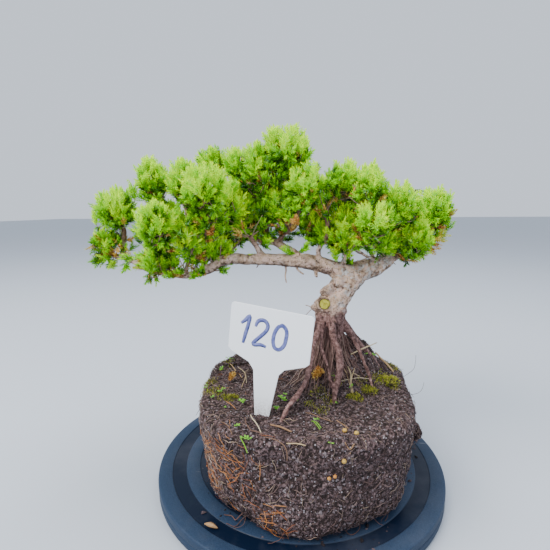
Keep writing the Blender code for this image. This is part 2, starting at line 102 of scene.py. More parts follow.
def bench_top():
    half, middle, drop = 7.0, 4.0, -0.0003
    mat, tree, shader = shader_tree("bench_paint")
    coat(tree, shader, (0.46, 0.50, 0.56), 0.6)
    bm = bmesh.new()
    bmesh.ops.create_grid(bm, x_segments=1, y_segments=1, size=half,
                          matrix=Matrix.Translation((0, middle, drop)))
    bench = in_scene("bench", mesh_of(bm, "bench"))
    bench.data.materials.append(mat)


def soft_box(name, spot, target, size, power, colour):
    lamp = bpy.data.lights.new(name, "AREA")
    lamp.shape = "RECTANGLE"
    lamp.size, lamp.size_y = size
    lamp.energy = power
    lamp.color = colour
    obj = in_scene(name, lamp)
    obj.location = spot
    obj.rotation_euler = (Vector(target) - Vector(spot)).to_track_quat("-Z", "Y").to_euler()


def daylight():
    world = bpy.data.worlds.new("sky")
    world.use_nodes = True
    back = world.node_tree.nodes["Background"]
    back.inputs["Color"].default_value = (0.80, 0.88, 1.0, 1)
    back.inputs["Strength"].default_value = 1.05
    bpy.context.scene.world = world
    soft_box("window_left", (-1.1, -0.7, 1.5), (0, 0, 0.15), (1.2, 1.0), 52.0, (1.0, 0.98, 0.94))
    soft_box("window_top", (0.25, 0.35, 1.6), (0, 0, 0.2), (1.0, 1.0), 20.0, (1.0, 1.0, 1.0))
    soft_box("fill_right", (1.3, -0.9, 0.6), (0, 0, 0.1), (0.9, 0.9), 6.5, (0.9, 0.95, 1.0))


def camera():
    eye = Vector((0.0, -0.3354, 0.2353))
    look = Vector((-0.0623, 0.9846, -0.1632)).normalized()
    right = look.cross(Vector((-0.0042, 0.1632, 0.9866))).normalized()
    up = right.cross(look)
    lens = bpy.data.cameras.new("camera")
    lens.sensor_width = 36.0
    lens.lens = 25.93
    lens.clip_start = 0.01
    obj = in_scene("camera", lens)
    turn = Matrix((right, up, -look)).transposed()
    obj.matrix_world = Matrix.Translation(eye) @ turn.to_4x4()
    bpy.context.scene.camera = obj


bench_top()
daylight()
camera()


# Turntable
# Two moulded discs of dark blue plastic, one above the other, with a thin seam between them. The
# upper disc spins. Its top has fine-grained bands raised a little above two polished grooves.

def colour_noise(tree, scale, detail=4.0, roughness=0.6, vector=None):
    coords = vector or add(tree, "ShaderNodeTexCoord").outputs["Object"]
    return add(tree, "ShaderNodeTexNoise", {"Vector": coords, "Scale": scale, "Detail": detail,
                                            "Roughness": roughness}).outputs["Fac"]


def ramp(tree, value, stops):
    """A colour ramp from (position, colour) stops."""
    new = add(tree, "ShaderNodeValToRGB", {"Fac": value})
    elements = new.color_ramp.elements
    while len(elements) < len(stops):
        elements.new(0.5)
    for element, (position, colour) in zip(elements, stops):
        element.position = position
        element.color = (*colour, 1)
    return new.outputs["Color"]


def sum_of(tree, operation, first, second, clamp=False):
    """The result of one calculation on two values or sockets."""
    return add(tree, "ShaderNodeMath", {0: first, 1: second}, operation=operation, use_clamp=clamp).outputs[0]


def one_axis(tree, vector, axis):
    return add(tree, "ShaderNodeSeparateXYZ", {0: vector}).outputs[axis]


def mixed(tree, share, first, second):
    """Two colours mixed by share: 0 gives the first, 1 the second."""
    return add(tree, "ShaderNodeMix", {0: share, 6: first, 7: second}, data_type="RGBA").outputs[2]


def bumped(tree, shader, height, strength, distance, normal=None):
    """Roughens a skin by height; normal is what an earlier bump left, where there is one."""
    new = add(tree, "ShaderNodeBump", {"Height": height, "Strength": strength, "Distance": distance})
    if normal:
        tree.links.new(normal, new.inputs["Normal"])
    tree.links.new(new.outputs["Normal"], shader.inputs["Normal"])
    return new.outputs["Normal"]


def span(tree, value, low, high, to_low=0.0, to_high=1.0):
    """value moved from the range low to high into the range to_low to to_high, and kept inside it."""
    return add(tree, "ShaderNodeMapRange", {"Value": value, "From Min": low, "From Max": high,
                                            "To Min": to_low, "To Max": to_high}).outputs["Result"]


def finished(name, mesh, body, slot_name, *stands_for, smooth=True):
    """Puts a finished mesh in the scene as a piece of the tree."""
    obj = in_scene(name, mesh)
    if smooth:
        mesh.shade_smooth()
    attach(obj, body)
    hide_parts(*stands_for)
    return obj


def applied(obj):
    """obj's mesh with its modifiers worked out; obj is removed."""
    graph = bpy.context.evaluated_depsgraph_get()
    mesh = bpy.data.meshes.new_from_object(obj.evaluated_get(graph), preserve_all_data_layers=True,
                                           depsgraph=graph)
    bpy.data.objects.remove(obj, do_unlink=True)
    return mesh


TABLE_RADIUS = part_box("turntable_platter")[1][0]
PLATTER_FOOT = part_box("turntable_platter")[0][2]
PLATTER_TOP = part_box("turntable_platter")[1][2]
BASE_TOP = PLATTER_FOOT - 0.6 * MM
BAND = 11.8 * MM              # width of each ring on the disc, raised or polished
GROOVE_DEPTH = 0.55 * MM
RAIL = 62 * MM                # middle of the raised ring that the upper disc runs on
RAIL_HALF = 3 * MM
RAIL_TOP = PLATTER_FOOT - 0.2 * MM


def turntable_plastic():
    """Dark blue plastic: grained on the raised bands, polished in the grooves, grey with dust and scuffs."""
    mat, tree, shader = shader_tree("turntable_plastic")
    place = add(tree, "ShaderNodeTexCoord").outputs["Object"]
    split = add(tree, "ShaderNodeSeparateXYZ", {"Vector": place})
    flat = add(tree, "ShaderNodeCombineXYZ", {"X": split.outputs["X"], "Y": split.outputs["Y"]})
    radius = add(tree, "ShaderNodeVectorMath", {0: flat.outputs[0]}, operation="LENGTH").outputs["Value"]
    edge = 0.25 * MM
    rings = None
    for outer in (TABLE_RADIUS - BAND, TABLE_RADIUS - 3 * BAND):
        inside = sum_of(tree, "MULTIPLY", span(tree, radius, outer + edge, outer - edge),
                        span(tree, radius, outer - BAND - edge, outer - BAND + edge))
        rings = inside if rings is None else sum_of(tree, "ADD", rings, inside)
    top = span(tree, split.outputs["Z"], PLATTER_TOP - 1.2 * MM, PLATTER_TOP - 0.9 * MM)
    smooth_share = sum_of(tree, "MULTIPLY", rings, top, True)
    grain = colour_noise(tree, 1500.0, 2.0, 0.5, place)
    blotch = colour_noise(tree, 26.0, 5.0, 0.62, place)
    dust = span(tree, blotch, 0.46, 0.74)
    grained = mixed(tree, grain, (0.006, 0.015, 0.035), (0.032, 0.058, 0.108))
    colour = mixed(tree, smooth_share, grained, (0.0025, 0.0075, 0.0210))
    colour = mixed(tree, sum_of(tree, "MULTIPLY", dust, 0.22), colour, (0.105, 0.110, 0.135))
    stretched = add(tree, "ShaderNodeMapping", {"Vector": place, "Scale": (38, 420, 60),
                                                "Rotation": (0, 0, 0.5)}).outputs[0]
    scuff = span(tree, colour_noise(tree, 1.0, 3.0, 0.7, stretched), 0.68, 0.76)
    worn = sum_of(tree, "MULTIPLY", scuff, span(tree, blotch, 0.50, 0.60))
    colour = mixed(tree, sum_of(tree, "MULTIPLY", worn, 0.45), colour, (0.30, 0.31, 0.34))
    rough = sum_of(tree, "ADD", span(tree, smooth_share, 0, 1, 0.50, 0.30),
                   sum_of(tree, "MULTIPLY", dust, 0.14))
    coat(tree, shader, colour, rough, 0.14)
    height = sum_of(tree, "MULTIPLY", grain, span(tree, smooth_share, 0, 1, 1.0, 0.03))
    bumped(tree, shader, height, 0.55, 0.25 * MM)
    return mat


def arc(centre, radius, start, end, steps):
    """Points of a round corner, from start to end in degrees."""
    for step in range(steps + 1):
        turn = math.radians(start + (end - start) * step / steps)
        yield centre[0] + radius * math.cos(turn), centre[1] + radius * math.sin(turn)


def turned(name, profile, segments=240):
    """A disc from its half profile of (radius, height), from the axis at the top round to the axis below."""
    bm = bmesh.new()
    points = [bm.verts.new((r, 0, z)) for r, z in profile]
    for a, b in zip(points, points[1:]):
        bm.edges.new((a, b))
    bmesh.ops.spin(bm, geom=bm.verts[:] + bm.edges[:], cent=(0, 0, 0), axis=(0, 0, 1),
                   angle=math.tau, steps=segments, use_duplicate=False)
    bmesh.ops.remove_doubles(bm, verts=bm.verts, dist=0.000002)
    bmesh.ops.recalc_face_normals(bm, faces=bm.faces)
    mesh = mesh_of(bm, name)
    mesh.shade_smooth()
    mesh.set_sharp_from_angle(angle=math.radians(38))
    return mesh


def turntable():
    mat = turntable_plastic()
    outer, edge, lip = TABLE_RADIUS, 1.6 * MM, 0.35 * MM
    top, groove = PLATTER_TOP, PLATTER_TOP - GROOVE_DEPTH
    profile = [(0, top)]
    for ring in (3, 1):
        inner_side = outer - BAND * (ring + 1)
        outer_side = outer - BAND * ring
        profile += [(inner_side - lip, top), (inner_side, top - lip / 2), (inner_side + lip, groove),
                    (outer_side - lip, groove), (outer_side, top - lip / 2), (outer_side + lip, top)]
    profile += list(arc((outer - edge, top - edge), edge, 90, 0, 5))
    profile += list(arc((outer - edge, PLATTER_FOOT + 0.8 * MM), edge, 0, -30, 2))
    profile += [(outer - 1.1 * MM, PLATTER_FOOT), (10 * MM, PLATTER_FOOT), (0, PLATTER_FOOT)]
    platter = turned("platter", profile)
    platter.materials.append(mat)
    finished("platter", platter, "platter", "turntable_plastic", "turntable_platter", smooth=False)
    profile = [(0, BASE_TOP), (RAIL - RAIL_HALF, BASE_TOP), (RAIL - RAIL_HALF, RAIL_TOP),
               (RAIL + RAIL_HALF, RAIL_TOP), (RAIL + RAIL_HALF, BASE_TOP), (outer - 1.4 * MM, BASE_TOP)]
    profile += list(arc((outer - 1.3 * MM, BASE_TOP - 1.2 * MM), 1.2 * MM, 70, 0, 3))
    profile += list(arc((outer - 1.6 * MM, 1.5 * MM), 1.5 * MM, 0, -90, 4))
    profile += [(outer - 12 * MM, 0), (0, 0)]
    base = turned("lower_disc", profile)
    base.materials.append(mat)
    finished("lower_disc", base, "base", "turntable_plastic", "turntable_base", smooth=False)


turntable()


# Root ball
# Dark peat soil that kept the shape of the container, bound by matted roots. Its skin is crumbs and
# fine roots: pinkish brown over most of it, orange where they ran round the container's lower wall.

def solid_copy(node):
    """A new object with a CAD node's shape, its loose triangles welded together."""
    mesh = nodes[node].data.copy()
    mesh.materials.clear()
    bm = bmesh.new()
    bm.from_mesh(mesh)
    bmesh.ops.remove_doubles(bm, verts=bm.verts, dist=0.000002)
    bm.to_mesh(mesh)
    bm.free()
    return in_scene(node + "_shape", mesh)


def remeshed(obj, voxel, smoothing):
    """obj's shape as an even net of small faces."""
    mod = obj.modifiers.new("even", "REMESH")
    mod.mode = "VOXEL"
    mod.voxel_size = voxel
    soft = obj.modifiers.new("soft", "SMOOTH")
    soft.iterations = smoothing
    return applied(obj)


def geometry_tree(name, inputs):
    """An empty Geometry Nodes tree with named inputs; returns the tree, its inputs and its output socket."""
    kinds = {float: "NodeSocketFloat", int: "NodeSocketInt", bpy.types.Material: "NodeSocketMaterial",
             bpy.types.Collection: "NodeSocketCollection"}
    tree = bpy.data.node_groups.new(name, "GeometryNodeTree")
    tree.interface.new_socket("Geometry", in_out="INPUT", socket_type="NodeSocketGeometry")
    for label, value in inputs.items():
        socket = tree.interface.new_socket(label, in_out="INPUT", socket_type=kinds[type(value)])
        socket.default_value = value
    tree.interface.new_socket("Geometry", in_out="OUTPUT", socket_type="NodeSocketGeometry")
    entry = tree.nodes.new("NodeGroupInput")
    leave = tree.nodes.new("NodeGroupOutput")
    return tree, entry.outputs, leave.inputs[0]


def grown(mesh, tree, **settings):
    """The mesh that a Geometry Nodes tree makes from mesh; settings are the tree's inputs by label."""
    carrier = in_scene(tree.name, mesh)
    mod = carrier.modifiers.new(tree.name, "NODES")
    mod.node_group = tree
    keys = {item.name: item.identifier for item in tree.interface.items_tree if item.in_out == "INPUT"}
    for label, value in settings.items():
        mod[keys[label.replace("_", " ")]] = value
    return applied(carrier)


def relief_tree():
    """Pushes a surface in and out along its normal by two sizes of lumps; a kept foot stays flat."""
    tree, given, out = geometry_tree("relief", {
        "lump height": 0.0030, "lump size": 0.020, "crumb height": 0.0021, "crumb size": 0.0042,
        "kept foot": 1.0})
    normal = add(tree, "GeometryNodeInputNormal").outputs[0]
    place = add(tree, "GeometryNodeInputPosition").outputs[0]
    total = None
    for height, size, rough in (("lump height", "lump size", 0.5), ("crumb height", "crumb size", 0.75)):
        scale = sum_of(tree, "DIVIDE", 1.0, given[size])
        field = add(tree, "ShaderNodeTexNoise", {"Vector": place, "Scale": scale, "Detail": 3.0,
                                                 "Roughness": rough}).outputs[0]
        push = sum_of(tree, "MULTIPLY", sum_of(tree, "SUBTRACT", field, 0.5), given[height])
        push = sum_of(tree, "MULTIPLY", push, 2.0)
        total = push if total is None else sum_of(tree, "ADD", total, push)
    facing = one_axis(tree, normal, "Z")
    foot = sum_of(tree, "MULTIPLY", span(tree, facing, -0.5, -0.9), given["kept foot"])
    total = sum_of(tree, "MULTIPLY", total, sum_of(tree, "SUBTRACT", 1.0, foot))
    shift = add(tree, "ShaderNodeVectorMath", {0: normal, "Scale": total}, operation="SCALE").outputs[0]
    moved = add(tree, "GeometryNodeSetPosition", {"Geometry": given["Geometry"], "Offset": shift})
    put(tree, out, moved.outputs[0])
    return tree


def soil_surface():
    """Dark peat: near black in the hollows as painted shade, purplish brown and tan on the crumbs, with pale
    mineral specks and painted glints.
    """
    mat, tree, shader = shader_tree("soil")
    place = add(tree, "ShaderNodeTexCoord").outputs["Object"]
    broad = colour_noise(tree, 55.0, 4.0, 0.6, place)
    fine = colour_noise(tree, 420.0, 4.0, 0.7, place)
    # Painted shade: where the bump below sinks, the colour goes near black for the shaded gaps between
    # crumbs; the peat itself is dark too.
    colour = ramp(tree, fine, [(0.34, (0.010, 0.007, 0.007)), (0.50, (0.040, 0.026, 0.024)),
                               (0.58, (0.140, 0.090, 0.092)), (0.70, (0.290, 0.205, 0.200))])
    colour = mixed(tree, span(tree, broad, 0.45, 0.70, 0.0, 0.5), colour, (0.022, 0.014, 0.012))
    height = one_axis(tree, place, "Z")
    left = one_axis(tree, place, "X")
    matted = sum_of(tree, "MULTIPLY", span(tree, left, -0.052, -0.078), span(tree, height, 0.082, 0.070))
    matted = sum_of(tree, "MULTIPLY", matted, span(tree, fine, 0.38, 0.55))
    colour = mixed(tree, sum_of(tree, "MULTIPLY", matted, 0.85), colour, (0.330, 0.225, 0.185))
    # Pale specks: partly grit, partly painted glints standing for tiny highlights on moist crumbs.
    cells = add(tree, "ShaderNodeTexVoronoi", {"Vector": place, "Scale": 560.0})
    ragged = sum_of(tree, "ADD", cells.outputs["Distance"], sum_of(tree, "MULTIPLY", fine, 0.9))
    chosen = sum_of(tree, "GREATER_THAN", one_axis(tree, cells.outputs["Color"], "X"), 0.80)
    grit = sum_of(tree, "MULTIPLY", sum_of(tree, "LESS_THAN", ragged, 0.72), chosen)
    colour = mixed(tree, grit, colour, (0.30, 0.27, 0.29))
    coat(tree, shader, colour, 0.95, 0.2)
    first = bumped(tree, shader, fine, 0.9, 0.9 * MM)
    dusty = colour_noise(tree, 1300.0, 3.0, 0.7, place)
    bumped(tree, shader, dusty, 0.8, 0.4 * MM, first)
    return mat


# Where the block bulges (+) or is broken away (-): middle, reach and push, in mm
BULGES = [((5, -100, 24), 26, 6), ((52, -84, 20), 20, -6), ((-44, -84, 18), 17, -5),
          ((88, -30, 30), 24, -4), ((-74, 30, 92), 22, 4), ((92, 30, 86), 20, 4),
          ((-6, 2, 98), 20, -9), ((60, 22, 108), 16, 5), ((-30, -66, 86), 10, -3)]
BULGE_END = 2                 # reaches from a bulge's middle to where it ends
SOIL_RIM = 84 * MM            # height where the block's wall turns into its top


def soil_body():
    mesh = remeshed(solid_copy("root_ball"), (1.5) * MM, 6)
    middle = Vector((5 * MM, 0, 0))
    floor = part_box("root_ball")[0][2]
    for vert in mesh.vertices:
        spot = vert.co
        outward = Vector((spot.x - middle.x, spot.y - middle.y, 0)).normalized()
        if spot.z > SOIL_RIM:
            outward = Vector((0, 0, 1))
        for place, reach, push in BULGES:
            near = (spot - Vector(place) * MM).length / (reach * MM)
            if near < BULGE_END:
                spot = spot + outward * (push * MM * math.exp(-near * near))
        spot.z = max(spot.z, floor)
        vert.co = spot
    mesh = grown(mesh, RELIEF)
    mesh.name = "soil"
    mesh.materials.append(soil_surface())
    return finished("soil", mesh, "platter", "soil", "root_ball")


def shape_set(name, meshes):
    """A hidden collection of small shapes for a tree to pick from."""
    group = bpy.data.collections.new(name)
    for number, mesh in enumerate(meshes):
        group.objects.link(bpy.data.objects.new(f"{name}_{number:02d}", mesh))
    return group


def crumb_shapes():
    """Five flattened, lumpy crumbs, one unit in radius."""
    for number in range(5):
        bm = bmesh.new()
        bmesh.ops.create_uvsphere(bm, u_segments=5, v_segments=2, radius=1.0)
        for vert in bm.verts:
            swell = noise.noise(vert.co * 1.7 + Vector((7.3 * number, 0, 0)))
            vert.co *= 0.95 + 0.9 * swell
            vert.co.z *= 0.6
            vert.co.x *= 1.0 + 0.12 * number
        yield mesh_of(bm, "crumb")


def thread_mesh(points, radius, sides=3, taper=0.5):
    """A closed thin thread along points, tapering to its ends."""
    bm = bmesh.new()
    rings = []
    for number, point in enumerate(points):
        ahead = points[min(number + 1, len(points) - 1)] - points[max(number - 1, 0)]
        turn = ahead.to_track_quat("Z", "Y")
        share = abs(2 * number / (len(points) - 1) - 1)
        size = radius * (1 - taper * share ** 3)
        rings.append([bm.verts.new(point + turn @ Vector((size * math.cos(math.tau * k / sides),
                                                          size * math.sin(math.tau * k / sides), 0)))
                      for k in range(sides)])
    for low, high in zip(rings, rings[1:]):
        for k in range(sides):
            bm.faces.new((low[k], low[(k + 1) % sides], high[(k + 1) % sides], high[k]))
    bm.faces.new(reversed(rings[0]))
    bm.faces.new(rings[-1])
    return mesh_of(bm, "thread")


def fibre_shapes(curl, seed, count=8, steps=5):
    """Unit-long rootlets that wander in the XY plane and rise a little from it."""
    dice = np.random.default_rng(seed)
    for _ in range(count):
        heading, spot, points = 0.0, Vector((-0.5, 0, 0)), []
        bend = dice.normal(0, curl)
        for step in range(steps + 1):
            points.append(spot.copy())
            heading += bend / steps + dice.normal(0, curl * 0.55)
            spot += Vector((math.cos(heading), math.sin(heading), 0)) / steps
            spot.z = 0.05 * math.sin(math.pi * step / steps * 2.3) + dice.normal(0, 0.012)
        yield thread_mesh(points, 0.018)


def chance(tree, low, high, seed):
    """A random value between low and high for each point or each bit."""
    return add(tree, "FunctionNodeRandomValue", {2: low, 3: high, "Seed": seed}, data_type="FLOAT").outputs[1]


def scatter_tree():
    """Strews shapes over a surface where its "cover" attribute allows, flat on it and turned at random."""
    tree, given, out = geometry_tree("strewn bits", {
        "shapes": bpy.data.collections.new("none"), "per square metre": 1000.0, "smallest": 0.001,
        "largest": 0.002, "seed": 1, "lift": 0.0, "skew": 3.0, "spin": 3.1416, "material": soil_mat})
    cover = add(tree, "GeometryNodeInputNamedAttribute", {"Name": "cover"}, data_type="FLOAT").outputs[0]
    density = sum_of(tree, "MULTIPLY", cover, given["per square metre"])
    points = add(tree, "GeometryNodeDistributePointsOnFaces", {
        "Mesh": given["Geometry"], "Density": density, "Seed": given["seed"]}, distribute_method="RANDOM")
    skewed = sum_of(tree, "POWER", chance(tree, 0.0, 1.0, given["seed"]), given["skew"])
    size = add(tree, "ShaderNodeMapRange", {"Value": skewed, "To Min": given["smallest"],
                                            "To Max": given["largest"]}).outputs["Result"]
    half = sum_of(tree, "MULTIPLY", given["spin"], -1.0)
    spin = chance(tree, half, given["spin"], 7)
    about = add(tree, "FunctionNodeAxisAngleToRotation", {"Axis": (0, 0, 1), "Angle": spin})
    turn = add(tree, "FunctionNodeRotateRotation", {
        "Rotation": points.outputs["Rotation"], "Rotate By": about.outputs[0]}, rotation_space="LOCAL")
    raise_by = add(tree, "ShaderNodeVectorMath", {0: points.outputs["Normal"], "Scale": given["lift"]},
                   operation="SCALE").outputs[0]
    lifted = add(tree, "GeometryNodeSetPosition", {"Geometry": points.outputs["Points"], "Offset": raise_by})
    bits = add(tree, "GeometryNodeCollectionInfo", {"Collection": given["shapes"], "Separate Children": True,
                                                    "Reset Children": True})
    bits_set = add(tree, "GeometryNodeInstanceOnPoints", {
        "Points": lifted.outputs[0], "Instance": bits.outputs[0], "Pick Instance": True,
        "Rotation": turn.outputs[0], "Scale": size})
    marked = add(tree, "GeometryNodeStoreNamedAttribute", {
        "Geometry": bits_set.outputs[0], "Name": "tone", "Value": chance(tree, 0.0, 1.0, 3)},
        domain="INSTANCE", data_type="FLOAT")
    real = add(tree, "GeometryNodeRealizeInstances", {0: marked.outputs[0]})
    coloured = add(tree, "GeometryNodeSetMaterial", {"Geometry": real.outputs[0],
                                                     "Material": given["material"]})
    put(tree, out, coloured.outputs[0])
    return tree


def toned(name, stops, roughness=0.9, bump=0.0):
    """A material whose colour follows each bit's own "tone"."""
    mat, tree, shader = shader_tree(name)
    tone = add(tree, "ShaderNodeAttribute", attribute_name="tone").outputs["Fac"]
    colour = ramp(tree, tone, stops)
    grain = colour_noise(tree, 900.0, 3.0, 0.6)
    colour = mixed(tree, span(tree, grain, 0.35, 0.65, 0.35, 0.0), colour, (0.02, 0.014, 0.012))
    coat(tree, shader, colour, roughness, 0.3)
    if bump:
        bumped(tree, shader, grain, 0.6, bump)
    return mat


def covered(mesh, rule):
    """Gives the mesh a "cover" attribute from rule(position, normal) at each vertex."""
    layer = mesh.attributes.new("cover", "FLOAT", "POINT")
    values = [max(0.0, min(1.0, rule(vert.co / MM, vert.normal))) for vert in mesh.vertices]
    layer.data.foreach_set("value", values)
    return mesh


def strewn(name, surface, rule, mat, slot_name, shapes, stands_for="root_ball", **settings):
    """Strews shapes over a surface where rule allows, as one piece; settings are the tree's inputs."""
    mesh = covered(surface.copy(), rule)
    mesh = grown(mesh, SCATTER, shapes=shape_set(name, shapes), material=mat, **settings)
    mesh.name = name
    return finished(name, mesh, "platter", slot_name, stands_for, smooth=False)


def patch(spot, middle, reach):
    """1 at middle, fading to nothing a little beyond reach."""
    return math.exp(-((spot - Vector(middle)).length / reach) ** 2)


def outside(spot, normal):
    """All over the block but not on its underside, nor on the disc that it stands on."""
    return 0.0 if normal.z < -0.6 or spot.z < 14.5 else 1.0


def lower_left(spot, normal):
    """Where the orange roots crowd: the left corner of the wall and a strip at its foot in front."""
    side = (patch(spot, (-52, -84, 62), 17) + patch(spot, (-64, -66, 44), 20)
            + 0.5 * patch(spot, (-80, -20, 40), 36))
    front = 0.45 * patch(spot, (-34, -92, 50), 14) + 1.2 * patch(spot, (-16, -97, 27), 11)
    return outside(spot, normal) * (side + front)


def left_wall(spot, normal):
    """Where pale roots have felted together: the left wall."""
    wall = (patch(spot, (-80, -28, 62), 26) + 0.8 * patch(spot, (-76, -46, 40), 22)
            + 0.5 * patch(spot, (-84, 14, 50), 26))
    return outside(spot, normal) * wall * (1.0 if normal.z < 0.6 else 0.2)


RELIEF = relief_tree()
soil = soil_body()
soil_mat = soil.data.materials[0]
SCATTER = scatter_tree()
CRUMB_COLOURS = [(0.0, (0.005, 0.004, 0.006)), (0.45, (0.024, 0.016, 0.019)), (0.72, (0.095, 0.064, 0.072)),
                 (0.93, (0.125, 0.090, 0.094)), (0.99, (0.220, 0.180, 0.190))]
# Colours of the pale bits: partly grit, partly painted glints of light.
GRIT_AND_GLINT_COLOURS = [(0.0, (0.22, 0.19, 0.20)), (0.6, (0.46, 0.44, 0.49)), (1.0, (0.54, 0.42, 0.32))]
ROOTLET_COLOURS = [(0.0, (0.045, 0.024, 0.024)), (0.4, (0.130, 0.075, 0.070)), (0.8, (0.270, 0.180, 0.155)),
                   (1.0, (0.400, 0.300, 0.210))]
FELT_COLOURS = [(0.0, (0.180, 0.110, 0.080)), (0.6, (0.400, 0.290, 0.230)), (1.0, (0.520, 0.420, 0.350))]
ORANGE_COLOURS = [(0.0, (0.150, 0.040, 0.016)), (0.5, (0.420, 0.125, 0.030)), (1.0, (0.600, 0.270, 0.080))]
strewn("soil_crumbs", soil.data, outside, toned("crumbs", CRUMB_COLOURS, 0.95, 0.3 * MM), "soil",
       crumb_shapes(), per_square_metre=235000.0, smallest=0.0003, largest=0.0011, seed=3, lift=0.0003)
# Pale bits strewn on the soil: partly grit, partly painted glints of light.
strewn("grit", soil.data, outside, toned("grit", GRIT_AND_GLINT_COLOURS, 0.5), "soil", crumb_shapes(),
       per_square_metre=15000.0, smallest=0.0002, largest=0.0005, seed=14, lift=0.0006)
strewn("rootlets", soil.data, outside, toned("rootlets", ROOTLET_COLOURS), "bark", fibre_shapes(0.75, 4),
       per_square_metre=47000.0, smallest=0.004, largest=0.013, seed=5, lift=0.0006, skew=2.0)
strewn("orange_roots", soil.data, lower_left, toned("orange_roots", ORANGE_COLOURS, 0.7), "bark",
       fibre_shapes(0.38, 9), per_square_metre=62000.0, smallest=0.004, largest=0.013, seed=8, lift=0.0010,
       skew=1.3, spin=1.1)
strewn("root_felt", soil.data, left_wall, toned("root_felt", FELT_COLOURS), "bark", fibre_shapes(0.4, 19),
       per_square_metre=260000.0, smallest=0.004, largest=0.011, seed=23, lift=0.0007, skew=1.5, spin=1.3)


# Trunk, limbs and roots
# Living wood, grown as one piece, so one mesh. Thin pinkish bark flakes and painted pinkish highlights on the
# limbs, painted shade under them, grey crusts sit on the trunk, and the roots, once underground, are redder
# and stringy.
# One limb was sawn off in front.

def strand_tree():
    """Turns lines of points into thin round strands that wander a little, as thick as their "girth"."""
    tree, given, out = geometry_tree("strands", {
        "step": 0.002, "wander": 0.0006, "wander size": 0.006, "sides": 5, "material": soil_mat})
    line = add(tree, "GeometryNodeMeshToCurve", {"Mesh": given["Geometry"]}).outputs[0]
    line = add(tree, "GeometryNodeCurveSplineType", {"Curve": line}, spline_type="CATMULL_ROM").outputs[0]
    line = add(tree, "GeometryNodeResampleCurve", {"Curve": line, "Length": given["step"]},
               mode="LENGTH").outputs[0]
    field = add(tree, "ShaderNodeTexNoise", {
        "Scale": sum_of(tree, "DIVIDE", 1.0, given["wander size"]), "Detail": 1.0}).outputs["Color"]
    aside = add(tree, "ShaderNodeVectorMath", {0: field, 1: (0.5, 0.5, 0.5)}, operation="SUBTRACT")
    push = add(tree, "ShaderNodeVectorMath", {0: aside.outputs[0], "Scale": given["wander"]},
               operation="SCALE")
    line = add(tree, "GeometryNodeSetPosition", {"Geometry": line, "Offset": push.outputs[0]}).outputs[0]
    girth = add(tree, "GeometryNodeInputNamedAttribute", {"Name": "girth"}, data_type="FLOAT").outputs[0]
    ring = add(tree, "GeometryNodeCurvePrimitiveCircle", {
        "Resolution": given["sides"], "Radius": 1.0}).outputs[0]
    skin = add(tree, "GeometryNodeCurveToMesh", {"Curve": line, "Profile Curve": ring, "Scale": girth,
                                                 "Fill Caps": True})
    done = add(tree, "GeometryNodeSetMaterial", {
        "Geometry": add(tree, "GeometryNodeRealizeInstances", {0: skin.outputs[0]}).outputs[0],
        "Material": given["material"]})
    put(tree, out, done.outputs[0])
    return tree


def line_mesh(name, lines):
    """One mesh of edges from (points, traits) pairs; a trait is one value for a line, or one per point."""
    spots, edges, values = [], [], {}
    for points, traits in lines:
        start = len(spots)
        spots.extend(Vector(point) for point in points)
        edges.extend((number, number + 1) for number in range(start, len(spots) - 1))
        for trait, value in traits.items():
            each = value if isinstance(value, list) else [value] * len(points)
            values.setdefault(trait, []).extend(each)
    mesh = bpy.data.meshes.new(name)
    mesh.from_pydata(spots, edges, [])
    for trait, each in values.items():
        mesh.attributes.new(trait, "FLOAT", "POINT").data.foreach_set("value", each)
    return mesh


